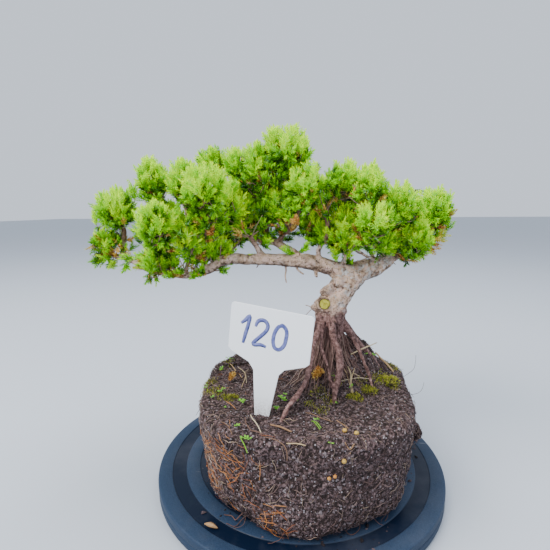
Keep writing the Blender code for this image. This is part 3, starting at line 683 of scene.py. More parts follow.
def bark():
    """Pinkish beige bark with dark pits, grey crust, painted highlights and painted shade underneath; redder
    below the crown; a sawn face of fresh wood.
    """
    mat, tree, shader = shader_tree("bark")
    place = add(tree, "ShaderNodeTexCoord").outputs["Object"]
    height = one_axis(tree, place, "Z")
    broad = colour_noise(tree, 120.0, 5.0, 0.7, place)
    fine = colour_noise(tree, 380.0, 6.0, 0.75, place)
    colour = ramp(tree, broad, [(0.34, (0.120, 0.070, 0.042)), (0.42, (0.340, 0.215, 0.140)),
                                (0.50, (0.560, 0.375, 0.255)), (0.58, (0.700, 0.470, 0.385)),
                                (0.66, (0.420, 0.280, 0.160))])
    # Pale pinkish flecks: partly thin bark flakes, partly painted highlights where the limbs catch the light.
    colour = mixed(tree, span(tree, fine, 0.52, 0.66, 0.0, 0.4), colour, (0.780, 0.580, 0.510))
    apart = one_axis(tree, place, "X")
    crust = colour_noise(tree, 160.0, 5.0, 0.75, place)
    crusted = sum_of(tree, "MULTIPLY", span(tree, crust, 0.50, 0.55), span(tree, fine, 0.40, 0.54))
    crusted = sum_of(tree, "MULTIPLY", crusted, span(tree, apart, 0.024, 0.036, 0.25, 1.0))
    colour = mixed(tree, sum_of(tree, "MULTIPLY", crusted, 0.85), colour, (0.640, 0.620, 0.600))
    facing = one_axis(tree, add(tree, "ShaderNodeNewGeometry").outputs["Normal"], "Z")
    pits = span(tree, sum_of(tree, "SUBTRACT", fine, span(tree, facing, 0.1, -0.7, 0.0, 0.08)), 0.455, 0.385)
    colour = mixed(tree, sum_of(tree, "MULTIPLY", pits, 0.85), colour, (0.060, 0.034, 0.020))
    # Painted shade: the undersides of the limbs are mixed towards dark brown, as if the light from above
    # misses them.
    colour = mixed(tree, span(tree, facing, -0.25, -0.85, 0.0, 0.6), colour, (0.085, 0.050, 0.030))
    twiggy = span(tree, sum_of(tree, "ADD", height, sum_of(tree, "MULTIPLY", broad, 0.010)), 0.209, 0.216)
    brown = ramp(tree, fine, [(0.35, (0.050, 0.022, 0.014)), (0.50, (0.190, 0.095, 0.062)),
                              (0.66, (0.360, 0.215, 0.160))])
    colour = mixed(tree, twiggy, colour, brown)
    root = ramp(tree, fine, [(0.34, (0.030, 0.013, 0.011)), (0.46, (0.125, 0.060, 0.052)),
                             (0.58, (0.260, 0.145, 0.130)), (0.72, (0.400, 0.270, 0.240))])
    low = span(tree, sum_of(tree, "ADD", height, sum_of(tree, "MULTIPLY", broad, 0.030)), 0.170, 0.160)
    colour = mixed(tree, low, colour, root)
    sawn = add(tree, "ShaderNodeAttribute", attribute_name="sawn").outputs["Fac"]
    fresh = ramp(tree, fine, [(0.36, (0.240, 0.200, 0.018)), (0.50, (0.470, 0.430, 0.040)),
                              (0.64, (0.600, 0.560, 0.110))])
    callus = ramp(tree, fine, [(0.36, (0.150, 0.088, 0.050)), (0.55, (0.440, 0.290, 0.185))])
    colour = mixed(tree, span(tree, sawn, 0.12, 0.30), colour, callus)
    colour = mixed(tree, span(tree, sawn, 0.52, 0.62), colour, (0.055, 0.032, 0.016))
    colour = mixed(tree, span(tree, sawn, 0.76, 0.84), colour, fresh)
    coat(tree, shader, colour, 0.75, 0.35)
    first = bumped(tree, shader, fine, 0.9, 0.7 * MM)
    bumped(tree, shader, crusted, 0.6, 0.4 * MM, first)
    return mat


# Swellings on the trunk that are drawn in: middle and radius, in mm
BURLS = [((18, 0, 152), 5.5), ((36, -4, 150), 6.0), ((32, -3, 174), 6.5)]
# Where the trunk's side lies further over: middle, reach and shift, in mm
SHIFTS = [((18.5, -3, 171.5), 6.5, (4.8, 0, 0)), ((25, -3, 178), 5.5, (2.6, 0, 1.5)),
          ((21, -3, 172), 5.5, (3.6, 0, 0)), ((14, -5, 153), 7.5, (-4.6, 0, 0))]
SHIFT_END = 2.5                                   # reaches from a shift's middle to where it ends
BURL_DRAWN_IN = 0.24                              # the share of its radius that a burl loses
SAW_CUT = Vector((20.6, -11.2, 157.0)) * MM       # middle of the sawn face
SAW_WAY = Vector((-0.42, -0.90, 0.07)).normalized()
SAW_REACH = 6.3 * MM                              # from there to the ridge of callus round it
STUB_LENGTH = 8 * MM                              # how far before and behind the cut the wood is shaped
STUB_REACH = 15 * MM
FACE_SUNK = 0.7 * MM                              # the face lies this much deeper than the cut
RIDGE_HEIGHT = 2.1                                # mm, of the callus
CREASE_DEPTH = 0.8                                # mm, of the crease outside the callus


def sawn_share(across):
    """1 on the fresh face, 0.35 on the callus round it, 0 on the bark; across is 1 at the callus's ridge."""
    share = min(1.0, 1 - (across - 0.64) / 0.26, 0.35 * (1.42 - across) / 0.22)
    if across > 0.81:
        share = min(share, 0.35)
    return max(0.0, share)


def wood_body():
    mesh = remeshed(solid_copy("trunk_and_roots"), (0.82) * MM, 9)
    sawn = [0.0] * len(mesh.vertices)
    for vert in mesh.vertices:
        for place, radius in BURLS:
            from_burl = vert.co - Vector(place) * MM
            near = max(0.0, min(1.0, 3 - 2 * from_burl.length / (radius * MM)))
            vert.co -= from_burl * (BURL_DRAWN_IN * near)
        for place, reach, shift in SHIFTS:
            near = (vert.co - Vector(place) * MM).length / (reach * MM)
            if near < SHIFT_END:
                vert.co += Vector(shift) * (MM * math.exp(-near * near))
        from_cut = vert.co - SAW_CUT
        depth = from_cut.dot(SAW_WAY)
        if abs(depth) > STUB_LENGTH or from_cut.length > STUB_REACH:
            continue
        flare = max(0.0, min(1.0, (depth / MM + 6) / 5)) * 0.42
        radial = (from_cut - SAW_WAY * depth) * (1 + flare)
        across = radial.length / SAW_REACH
        if depth > -4 * MM:
            sawn[vert.index] = sawn_share(across)
        if across < 0.74 and depth > -3.5 * MM:
            depth = -FACE_SUNK
        elif depth > -4 * MM:
            depth += (RIDGE_HEIGHT * math.exp(-((across - 0.98) / 0.20) ** 2)
                      - CREASE_DEPTH * math.exp(-((across - 1.45) / 0.15) ** 2)) * MM
        vert.co = SAW_CUT + SAW_WAY * depth + radial
    mesh.attributes.new("sawn", "FLOAT", "POINT").data.foreach_set("value", sawn)
    mesh = grown(mesh, RELIEF, lump_height=0.0013, lump_size=0.009, crumb_height=0.0007, crumb_size=0.0026,
                 kept_foot=0.0)
    mesh.name = "wood"
    mesh.materials.append(BARK)
    return finished("wood", mesh, "platter", "bark", "trunk_and_roots")


def soil_under(x, y):
    """The height of the soil's top, in metres, under a point given in mm."""
    above = Vector((x * MM, y * MM, 0.2))
    hit = SOIL_SHAPE.ray_cast(above, Vector((0, 0, -1)))[0]
    return hit.z if hit else SOIL_RIM


def searchable(spots):
    """A tree of points that finds the one nearest to a place."""
    tree = KDTree(len(spots))
    for number, spot in enumerate(spots):
        tree.insert(spot, number)
    tree.balance()
    return tree


def crown_roots(count, seed):
    """Stringy roots that hang from the crown and fan out over the mound, most of them in front."""
    dice = np.random.default_rng(seed)
    front, last, sunk = -math.pi / 2, 7, 1.5
    for number in range(count):
        bearing = dice.uniform(-math.pi, math.pi)
        if dice.random() < 0.5:
            bearing = front + dice.normal(0, 0.75)
        top = dice.uniform(124, 157)
        widening = 1.0 + 0.3 * (153 - top) / 29
        start = dice.uniform(5.0, 9.5) * widening
        reach = dice.uniform(15, 30) if dice.random() < 0.75 else dice.uniform(28, 46)
        drift = bearing + dice.normal(0, 0.30)
        foot = (CROWN.x + reach * math.cos(drift), CROWN.y + reach * math.sin(drift))
        floor = soil_under(*foot) / MM - sunk
        points = []
        for step in range(last + 1):
            share = step / last
            out = start + (reach - start) * share ** 1.7
            turn = bearing + (drift - bearing) * share
            drop = top + (floor - top) * share ** 0.85
            points.append((Vector((CROWN.x + out * math.cos(turn), CROWN.y + out * math.sin(turn), drop))
                           + Vector(dice.normal(0, 0.7, 3))) * MM)
        thick = (dice.uniform(0.5, 0.95) if number % 7 == 0 else dice.uniform(0.17, 0.42)) * MM
        girths = [thick * (1.15 - 0.6 * step / last) for step in range(last + 1)]
        yield points, {"girth": girths, "tone": float(dice.uniform(0.2, 1.0))}


# Short dead pegs and bare twigs on the limbs: foot and tip in mm, and thickness
PEGS = [((-12, -3, 186), (-12, -5, 172), 0.8), ((-2, -3, 184), (4, -6, 178), 1.0),
        ((-63, -3, 193), (-66, -6, 187), 0.9), ((16, -2, 190), (12, -6, 196), 0.9),
        ((14, -8, 153), (3, -12, 156), 0.5), ((8, -10, 150), (0, -12, 142), 0.4),
        ((46, 10, 190), (60, 2, 197), 0.7), ((50, 12, 192), (66, 8, 190), 0.6),
        ((60, 20, 196), (72, 4, 190), 0.6), ((-92, -2, 199), (-96, -10, 190), 0.7),
        ((-118, -3, 196), (-122, -9, 188), 0.6), ((-34, 0, 190), (-36, -6, 184), 0.6),
        ((38, 8, 182), (44, 2, 176), 0.5), ((72, 28, 199), (82, 20, 190), 0.6)]


def pegs(seed):
    """The pegs, each moved so that its foot is just under the nearest bark."""
    dice = np.random.default_rng(seed)
    sunk = 1.2 * MM
    for foot, tip, thick in PEGS:
        way = Vector(tip) * MM - Vector(foot) * MM
        foot = Vector(WOOD_POINTS.find(Vector(foot) * MM)[0]) - way.normalized() * sunk
        tip = foot + way
        points = [foot + (tip - foot) * share + Vector(dice.normal(0, 0.5, 3)) * MM * (share > 0)
                  for share in (0, 0.35, 0.7, 1)]
        girths = [thick * MM * size for size in (1.3, 0.95, 0.8, 0.65)]
        yield points, {"girth": girths, "tone": 0.7}


CROWN = Vector((27, 2))       # middle of the roots' crown, in mm
SOIL_SHAPE = BVHTree.FromPolygons([vert.co for vert in soil.data.vertices],
                                  [face.vertices for face in soil.data.polygons])
STRANDS = strand_tree()
BARK = bark()
wood = wood_body()
WOOD_POINTS = searchable([vert.co for vert in wood.data.vertices if vert.co.z > 0.14])
STRINGY = toned("stringy_roots", [(0.0, (0.045, 0.020, 0.017)), (0.4, (0.160, 0.082, 0.070)),
                                  (0.75, (0.310, 0.190, 0.160)), (1.0, (0.460, 0.350, 0.280))], 0.8)
hair = grown(line_mesh("hair_roots", crown_roots(230, 21)), STRANDS, wander=0.0026, wander_size=0.007,
             material=STRINGY)
finished("hair_roots", hair, "platter", "bark", "trunk_and_roots")
peg_mesh = grown(line_mesh("pegs", pegs(5)), STRANDS, material=BARK, wander=0.0008)
finished("dead_pegs", peg_mesh, "platter", "bark", "trunk_and_roots")


# Foliage
# Juniper: stiff awl-shaped needles in whorls of three on short blunt shoots, packed into rounded pads.
# New tips are yellow-lime, older needles a deep green, and the shaded ones inside dry to orange-brown.
# The greens are also painted lighter on the tops of the pads and darker under and between them, as painted
# light and shade.

def needle_whorls():
    """Short lengths of shoot: three needles round it, from nearly closed to wide open."""
    for lean in (16, 27, 38, 50):
        bm = bmesh.new()
        along = bm.verts.layers.float.new("along")
        for number in range(3):
            turn = Matrix.Rotation(math.tau * number / 3 + 0.15 * lean, 4, "Z")
            tilt = Matrix.Rotation(math.radians(lean), 4, "Y")
            out = turn @ Matrix.Translation((0.08, 0, 0)) @ tilt
            base = [(-0.10, 0.0, 0.0), (0.04, 0.16, 0.10), (0.04, -0.16, 0.10)]
            corners = [bm.verts.new(out @ Vector(spot)) for spot in base]
            tip = bm.verts.new(out @ Vector((-0.12, 0.0, 1.0)))
            tip[along] = 1.0
            bm.faces.new(reversed(corners))
            for low, high in ((0, 1), (1, 2), (2, 0)):
                bm.faces.new((corners[low], corners[high], tip))
        yield mesh_of(bm, "whorl")


def needle_tree():
    """Sets whorls of needles along every line, open at its foot and closing at its tip."""
    tree, given, out = geometry_tree("needles", {
        "whorls": bpy.data.collections.new("no whorls"), "spacing": 0.0011, "length": 0.0038,
        "material": soil_mat})
    line = add(tree, "GeometryNodeMeshToCurve", {"Mesh": given["Geometry"]}).outputs[0]
    line = add(tree, "GeometryNodeCurveSplineType", {"Curve": line}, spline_type="CATMULL_ROM").outputs[0]
    line = add(tree, "GeometryNodeResampleCurve", {"Curve": line, "Length": given["spacing"]},
               mode="LENGTH").outputs[0]
    share = add(tree, "GeometryNodeSplineParameter").outputs["Factor"]
    line = add(tree, "GeometryNodeStoreNamedAttribute", {"Geometry": line, "Name": "up", "Value": share},
               data_type="FLOAT", domain="POINT").outputs[0]
    tangent = add(tree, "GeometryNodeInputTangent").outputs[0]
    aligned = add(tree, "FunctionNodeAlignRotationToVector", {"Vector": tangent}, axis="Z").outputs[0]
    spin = chance(tree, 0.0, 6.283, 2)
    about = add(tree, "FunctionNodeAxisAngleToRotation", {"Axis": (0, 0, 1), "Angle": spin}).outputs[0]
    turned_to = add(tree, "FunctionNodeRotateRotation", {"Rotation": aligned, "Rotate By": about},
                    rotation_space="LOCAL").outputs[0]
    taper = add(tree, "ShaderNodeMapRange", {"Value": share, "From Min": 0.35, "From Max": 1.0,
                                             "To Min": 1.0, "To Max": 0.62}).outputs["Result"]
    vary = chance(tree, 0.75, 1.15, 5)
    size = sum_of(tree, "MULTIPLY", sum_of(tree, "MULTIPLY", taper, vary), given["length"])
    open_by = chance(tree, 2.0, 3.99, 8)
    pick = sum_of(tree, "SUBTRACT", open_by, sum_of(tree, "MULTIPLY", span(tree, share, 0.4, 1.0), 1.9))
    bits = add(tree, "GeometryNodeCollectionInfo", {"Collection": given["whorls"], "Separate Children": True,
                                                    "Reset Children": True}).outputs[0]
    placed = add(tree, "GeometryNodeInstanceOnPoints", {
        "Points": line, "Instance": bits, "Pick Instance": True, "Instance Index": pick,
        "Rotation": turned_to, "Scale": size}).outputs[0]
    placed = add(tree, "GeometryNodeStoreNamedAttribute", {
        "Geometry": placed, "Name": "tone", "Value": chance(tree, 0.0, 1.0, 3)},
        domain="INSTANCE", data_type="FLOAT").outputs[0]
    real = add(tree, "GeometryNodeRealizeInstances", {0: placed}).outputs[0]
    done = add(tree, "GeometryNodeSetMaterial", {"Geometry": real, "Material": given["material"]})
    put(tree, out, done.outputs[0])
    return tree


def needle_green():
    """Needle skin: green by the shoot's youth and painted light, the place along the shoot and chance; orange
    where dry.
    """
    mat, tree, shader = shader_tree("juniper_needles")
    fresh, dry, tone, up, along = (add(tree, "ShaderNodeAttribute", attribute_name=name).outputs["Fac"]
                                   for name in ("fresh", "dry", "tone", "up", "along"))
    # Painted light: fresh holds both the shoot's youth and how lit it is painted, lighter on a pad's top,
    # darker below.
    youth_and_light = sum_of(tree, "ADD", fresh, sum_of(tree, "MULTIPLY", up, 0.34))
    youth_and_light = sum_of(tree, "ADD", youth_and_light, sum_of(tree, "MULTIPLY", along, 0.14))
    youth_and_light = sum_of(tree, "ADD", youth_and_light, sum_of(tree, "MULTIPLY", tone, 0.16))
    green = ramp(tree, youth_and_light, [(0.24, (0.008, 0.035, 0.001)), (0.44, (0.060, 0.210, 0.001)),
                             (0.62, (0.215, 0.560, 0.0005)), (0.85, (0.410, 0.820, 0.0005)),
                             (1.05, (0.640, 0.940, 0.001))])
    waxy = span(tree, tone, 0.91, 0.94, 0.0, 0.4)
    green = mixed(tree, waxy, green, (0.330, 0.560, 0.330))
    dead = ramp(tree, tone, [(0.0, (0.300, 0.100, 0.025)), (0.5, (0.620, 0.290, 0.060)),
                             (1.0, (0.840, 0.560, 0.160))])
    colour = mixed(tree, dry, green, dead)
    coat(tree, shader, colour, 0.6, 0.10)
    grain = colour_noise(tree, 2500.0, 2.0, 0.5)
    bumped(tree, shader, grain, 0.3, 0.1 * MM)
    return mat


def shoot(dice, foot, way, length, fresh, dry=0.0):
    """One shoot from foot: three steps that curve a little upwards."""
    bend = Vector((dice.normal(0, 0.12), dice.normal(0, 0.12), 0.22))
    points, spot, heading = [foot.copy()], foot.copy(), way.normalized()
    for _ in range(3):
        heading = (heading + bend * 0.5).normalized()
        spot = spot + heading * (length / 3)
        points.append(spot.copy())
    # fresh is the shoot's youth together with painted light and shade.
    return points, {"fresh": float(fresh), "dry": float(dry), "girth": 0.00026}


def nearest_wood(spot, middle, reach):
    """The wood point that a cluster's twig starts from: near the pad's middle and below its cluster."""
    low = middle + (spot - middle) * 0.25 - Vector((0, 0, reach * 0.35))
    return Vector(WOOD_POINTS.find(low)[0])


def cluster(dice, foot, way, leader, light, sides=4):
    """A leader with side shoots, in a fan: a small spray of foliage."""
    yield shoot(dice, foot, way, leader, light)
    side = way.cross(Vector(dice.normal(0, 1, 3))).normalized()
    for step in range(sides):
        share = 0.12 + 0.6 * step / sides
        turn = side if step % 2 else -side
        turn = (turn + way.cross(side) * dice.normal(0, 0.5)).normalized()
        spread = way + turn * dice.uniform(0.55, 0.95)
        length = leader * dice.uniform(0.45, 0.72) * (1 - 0.4 * share)
        yield shoot(dice, foot + way * leader * share, spread, length, light + dice.normal(-0.04, 0.07))


def twig_to(dice, foot, start):
    """A thin bare twig from the wood to the foot of a spray, sagging a little."""
    drop = Vector((0, 0, -0.12 * (foot - start).length))
    sag = (start + foot) / 2 + drop + Vector(dice.normal(0, 0.0012, 3))
    return [start, sag, foot], {"girth": [0.00058, 0.00042, 0.0003], "tone": float(dice.uniform(0.3, 1.0))}


def along_twigs(dice, middle, half, count):
    """Sparse sprays and dry needles that sit straight on the twigs under a pad."""
    leafy, twigs = [], []
    for _ in range(count):
        query = middle + Vector((dice.uniform(-1.2, 1.2) * half.x, dice.uniform(-1.2, 1.0) * half.y,
                                 dice.uniform(-2.1, 0.1) * half.z))
        start = Vector(LEAFY_WOOD.find(query)[0])
        if start.x > LEFT_TIP:
            query.z = max(query.z, start.z + 0.001)
        away = query - start
        if away.length > LONGEST_TWIG:
            continue
        way = away.normalized() * 0.8 + Vector((0, -0.15, 0.25)) + Vector(dice.normal(0, 0.35, 3))
        way.normalize()
        foot = start + away * dice.uniform(0.1, 0.5)
        twigs.append(twig_to(dice, foot, start))
        if dice.random() < 0.45:
            leafy.append(shoot(dice, foot, way, dice.uniform(0.005, 0.009), 0.2, dice.uniform(0.6, 1.0)))
            continue
        leafy.extend(cluster(dice, foot, way, dice.uniform(0.008, 0.013), dice.uniform(0.12, 0.50), 3))
    return leafy, twigs


def between_pads(dice, middle, others, count):
    """Foliage that bridges to the neighbouring pads, painted in the darker greens of shade."""
    leafy, twigs = [], []
    for other in others:
        across = other - middle
        if across.length > NEIGHBOURS:
            continue
        for _ in range(count):
            spot = middle + across * dice.uniform(0.3, 0.7) + Vector(dice.normal(0, 0.0055, 3))
            spot.z -= 0.008
            way = (Vector((0, -0.2, 0.75)) + Vector(dice.normal(0, 0.45, 3))).normalized()
            start = Vector(LEAFY_WOOD.find(spot - Vector((0, 0, 0.008)))[0])
            twigs.append(twig_to(dice, spot, start))
            # Painted shade: these sprays get a low freshness, so dark greens.
            leafy.extend(cluster(dice, spot, way, dice.uniform(0.009, 0.014), dice.uniform(0.15, 0.48)))
    return leafy, twigs


def loose_sprays(dice, node):
    """The sprays that grow from the wood outside a pad's own box."""
    leafy, twigs = [], []
    for pad, foot, way, length, fresh, dry in LOOSE_SPRAYS:
        if pad != node:
            continue
        foot, way = Vector(foot) * MM, Vector(way).normalized()
        twigs.append(twig_to(dice, foot, Vector(WOOD_POINTS.find(foot)[0])))
        for line in cluster(dice, foot, way, length * MM, fresh, 5):
            line[1]["dry"] = dry
            leafy.append(line)
    return leafy, twigs


def pad_lines(node, seed):
    """The leafy shoots and the bare twigs of one pad, from its box."""
    dice = np.random.default_rng(seed)
    low, high = (Vector(corner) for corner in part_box(node))
    middle, half = (low + high) / 2, (high - low) / 2
    reach = (half.x + half.y + half.z) / 3
    count = int(4 * math.pi * reach ** 2 / (SPRAYS_APART ** 2))
    leafy, twigs = [], []
    for number in range(count):
        rise = 1 - 2 * (number + 0.5) / count
        bearing = number * GOLDEN_ANGLE + dice.normal(0, 0.25)
        flat = math.sqrt(max(0.0, 1 - rise * rise))
        out = Vector((flat * math.cos(bearing), flat * math.sin(bearing), rise + dice.normal(0, 0.08)))
        out.normalize()
        if out.z < -0.45 and dice.random() < 0.35:
            continue
        skin = middle + Vector((out.x * half.x, out.y * half.y, out.z * half.z)) * dice.uniform(0.86, 1.12)
        lift = 0.75 if out.z > -0.1 else 0.30
        way = (out * 0.62 + Vector((0, 0, lift)) + Vector(dice.normal(0, 0.20, 3))).normalized()
        leader = dice.uniform(0.011, 0.017)
        foot = skin - way * leader
        inner = foot - (way + out) * dice.uniform(0.002, 0.005)
        start = nearest_wood(foot, middle, reach)
        sag = (start + inner) / 2 + (start - middle) * 0.1 + Vector(dice.normal(0, 0.0015, 3))
        twigs.append(([start, sag, inner, foot], {"girth": [0.00062, 0.00048, 0.00038, 0.0003],
                                                  "tone": float(dice.uniform(0.3, 1.0))}))
        # Painted light: the more a spray faces up, the lighter its green, and the darker underneath, as if
        # lit from above.
        light = 0.54 + 0.30 * out.z + dice.normal(0, 0.16)
        leafy.extend(cluster(dice, foot, way, leader, light, 5))
        if dice.random() < 0.75:
            spread = (out * 0.5 + Vector(dice.normal(0, 0.8, 3))).normalized()
            leafy.append(shoot(dice, inner, spread, dice.uniform(0.005, 0.009), dice.uniform(0.1, 0.35)))
        if dice.random() < 0.28 + 0.45 * (out.z < -0.2):
            from_twig = inner + (sag - inner) * dice.uniform(0.2, 0.9)
            spread = (Vector(dice.normal(0, 0.8, 3)) + way * 0.6).normalized()
            leafy.append(shoot(dice, from_twig, spread, dice.uniform(0.004, 0.008), 0.2, 1.0))
    others = [spot for spot in PAD_MIDDLES if spot.x > middle.x + 0.00001]
    for more in (along_twigs(dice, middle, half, 34), between_pads(dice, middle, others, 5),
                 loose_sprays(dice, node)):
        leafy.extend(more[0])
        twigs.extend(more[1])
    return leafy, twigs


def foliage_pad(node, number):
    leafy, twigs = pad_lines(node, 100 + number)
    leaves = grown(line_mesh("leaves", leafy), NEEDLES, whorls=WHORLS, material=NEEDLE_GREEN,
                   spacing=0.0015, length=0.0042)
    stems = grown(line_mesh("stems", twigs), STRANDS, material=TWIG_BARK, wander=0.0012, step=0.003,
                  sides=4)
    for mesh, name, slot_name in ((leaves, "foliage", "foliage"), (stems, "twigs", "bark")):
        mesh.name = f"{name}_{number:02d}"
        finished(mesh.name, mesh, "platter", slot_name, node, smooth=mesh is stems)


SPRAYS_APART = 0.0088         # over a pad's skin
GOLDEN_ANGLE = 2.39996        # spreads points evenly over a ball
NEIGHBOURS = 0.052            # pads closer than this are bridged
LONGEST_TWIG = 0.026
LEFT_TIP = -0.122             # left of this, sprays may hang below the limb
# Sprays outside the pads: pad, foot in mm and direction, length in mm, freshness with painted light, dryness
LOOSE_SPRAYS = [
    ("foliage_pad_03", (-148, 18, 244), (-0.1, 0, 1), 17, 0.62, 0.0),
    ("foliage_pad_03", (-150, 14, 238), (-0.5, -0.2, 0.8), 13, 0.5, 0.0),
    ("foliage_pad_22", (-4, -4, 198), (-0.8, -0.3, 0.25), 13, 0.50, 0.0),
    ("foliage_pad_22", (0, -6, 200), (0.6, -0.4, 0.5), 11, 0.42, 0.0),
    ("foliage_pad_22", (31, -4, 192), (-0.2, -0.4, 0.9), 14, 0.66, 0.0),
    ("foliage_pad_22", (38, -2, 194), (0.4, -0.5, 0.6), 12, 0.55, 0.0),
    ("foliage_pad_12", (-34, -4, 196), (-1, -0.2, 0.05), 9, 0.62, 0.0),
    ("foliage_pad_21", (92, 26, 192), (0.9, -0.4, -0.1), 12, 0.4, 0.9),
    ("foliage_pad_21", (104, 36, 196), (0.8, -0.5, -0.4), 12, 0.4, 0.75),
    ("foliage_pad_20", (120, 45, 206), (0.6, -0.5, -0.6), 12, 0.5, 0.9),
    ("foliage_pad_20", (126, 44, 212), (0.8, -0.4, -0.3), 12, 0.6, 0.4),
    ("foliage_pad_20", (114, 34, 200), (0.4, -0.8, -0.2), 13, 0.5, 0.85),
    ("foliage_pad_20", (118, 38, 206), (0.7, -0.7, 0.1), 13, 0.6, 0.7),
    ("foliage_pad_20", (108, 30, 202), (0.5, -0.9, 0.2), 12, 0.5, 0.6),
    ("foliage_pad_21", (98, 24, 204), (0.5, -0.8, 0.2), 12, 0.5, 0.9),
    ("foliage_pad_15", (-1, -14, 224), (-0.3, -0.8, 0.3), 11, 0.3, 1.0),
    ("foliage_pad_06", (-70, -24, 216), (0.2, -0.9, 0.3), 12, 0.3, 1.0),
    ("foliage_pad_06", (-74, -26, 224), (-0.3, -0.9, 0.2), 12, 0.3, 0.9),
    ("foliage_pad_10", (-130, -8, 192), (-0.5, -0.6, -0.4), 13, 0.35, 0.1),
    ("foliage_pad_10", (-140, -6, 196), (-0.8, -0.4, -0.3), 13, 0.35, 0.0),
    ("foliage_pad_10", (-118, -10, 188), (-0.3, -0.8, 0.1), 12, 0.4, 0.3),
    ("foliage_pad_11", (-104, -10, 190), (0.2, -0.9, 0.2), 13, 0.45, 0.1),
    ("foliage_pad_11", (-92, -10, 194), (0.4, -0.8, 0.3), 13, 0.4, 0.5),
    ("foliage_pad_11", (-84, -8, 198), (0.5, -0.7, 0.5), 13, 0.45, 0.0),
    ("foliage_pad_01", (-160, 0, 192), (-0.3, -0.6, -0.5), 10, 0.45, 0.2),
    ("foliage_pad_01", (-152, 0, 190), (0.2, -0.6, -0.5), 10, 0.35, 0.0)]
PAD_MIDDLES = [(Vector(low) + Vector(high)) / 2
               for low, high in (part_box(name) for name in nodes if name.startswith("foliage_pad"))]
LEAFY_WOOD = searchable([vert.co for vert in wood.data.vertices
                         if vert.co.z > 0.207 or vert.co.x > 0.090
                         or (vert.co.x < -0.066 and vert.co.z > 0.15)])
WHORLS = shape_set("whorls", needle_whorls())
NEEDLES = needle_tree()
NEEDLE_GREEN = needle_green()
TWIG_BARK = toned("twig_bark", [(0.0, (0.110, 0.060, 0.030)), (0.5, (0.300, 0.170, 0.110)),
                                (1.0, (0.460, 0.330, 0.250))], 0.7)
for number in range(1, 33):
    foliage_pad(f"foliage_pad_{number:02d}", number)


# Plant label
# A stamped white plastic T, pushed into the soil in front of the trunk, with a number written on its
# head in blue marker pen.

LABEL_LEAN = 6.2              # degrees, over towards +X
LABEL_TURN = -16.0            # degrees, about the upright axis
LABEL_HALF_THICK = 0.5 * MM
HEAD_HALF = 0.0195            # from the head's top edge to its middle
INK_FLATTENED = 0.06          # the share of a stroke's roundness that is left
# The strokes of the number, in mm from the middle of the label's head, right and up
DIGITS = [[(-22.5, 4.5), (-19.0, 8.0), (-16.0, 11.0), (-17.0, 4.0), (-18.6, -4.0), (-19.8, -10.5)],
          [(-11.0, 4.0), (-9.4, 8.4), (-5.0, 9.8), (-1.8, 7.0), (-2.6, 2.5), (-6.6, -2.6), (-11.6, -8.2),
           (-11.2, -9.8), (-6.0, -8.8), (-1.8, -9.6)],
          [(9.6, 8.6), (6.4, 7.4), (4.0, 2.6), (3.2, -3.6), (4.8, -8.6), (8.4, -9.4), (11.6, -5.6),
           (12.8, 0.6), (12.2, 6.0), (9.2, 9.0), (7.2, 8.0)]]


def label_white():
    mat, tree, shader = shader_tree("label_white")
    place = add(tree, "ShaderNodeTexCoord").outputs["Object"]
    cloud = colour_noise(tree, 40.0, 3.0, 0.5, place)
    fine = colour_noise(tree, 700.0, 3.0, 0.6, place)
    colour = mixed(tree, span(tree, cloud, 0.35, 0.65), (0.90, 0.93, 0.97), (0.93, 0.95, 0.98))
    specks = sum_of(tree, "MULTIPLY", span(tree, fine, 0.70, 0.74), 0.6)
    colour = mixed(tree, specks, colour, (0.22, 0.20, 0.22))
    low = span(tree, one_axis(tree, place, "Z"), 0.098, 0.084)
    soiled = sum_of(tree, "MULTIPLY", low, span(tree, fine, 0.42, 0.58))
    colour = mixed(tree, sum_of(tree, "MULTIPLY", soiled, 0.5), colour, (0.30, 0.24, 0.24))
    coat(tree, shader, colour, span(tree, cloud, 0.3, 0.7, 0.32, 0.46))
    bumped(tree, shader, cloud, 0.2, 0.3 * MM)
    return mat


def marker_ink():
    mat, tree, shader = shader_tree("marker_ink")
    wet = colour_noise(tree, 300.0, 3.0, 0.6)
    colour = ramp(tree, wet, [(0.35, (0.060, 0.075, 0.260)), (0.65, (0.160, 0.180, 0.430))])
    coat(tree, shader, colour, 0.5)
    return mat


def plant_label():
    plate = solid_copy("plant_label")
    edges = plate.modifiers.new("edges", "BEVEL")
    edges.width = 0.25 * MM
    edges.segments = 2
    edges.limit_method = "ANGLE"
    mesh = applied(plate)
    mesh.name = "label_plate"
    mesh.materials.append(label_white())
    stand = (Matrix.Rotation(math.radians(LABEL_TURN), 3, "Z")
             @ Matrix.Rotation(math.radians(LABEL_LEAN), 3, "Y"))
    spots = np.array([stand.transposed() @ vert.co for vert in mesh.vertices])
    head_top = spots[:, 2].max()
    middle = Vector(((spots[:, 0].max() + spots[:, 0].min()) / 2, spots[:, 1].mean(), head_top - HEAD_HALF))
    lines = [([Vector((right, 0, up)) * MM for right, up in stroke],
              {"girth": [1.0 * MM] + [1.55 * MM] * (len(stroke) - 2) + [1.1 * MM], "tone": 0.5})
             for stroke in DIGITS]
    ink = grown(line_mesh("ink", lines), STRANDS, wander=0.0006, wander_size=0.006, step=0.001,
                material=marker_ink())
    for vert in ink.vertices:
        proud = vert.co.y * INK_FLATTENED - LABEL_HALF_THICK - 0.04 * MM
        spot = Vector((vert.co.x, proud, vert.co.z))
        vert.co = stand @ (middle + spot)
    ink.name = "label_number"
    finished("label_plate", mesh, "platter", "label_plastic", "plant_label", smooth=False)
    finished("label_number", ink, "platter", "label_plastic", "plant_label")


plant_label()


# Fertiliser prills
# Coated feed beads, a few millimetres across: thin-walled, dusty yellow, dimpled as they empty. Some
# have turned orange.

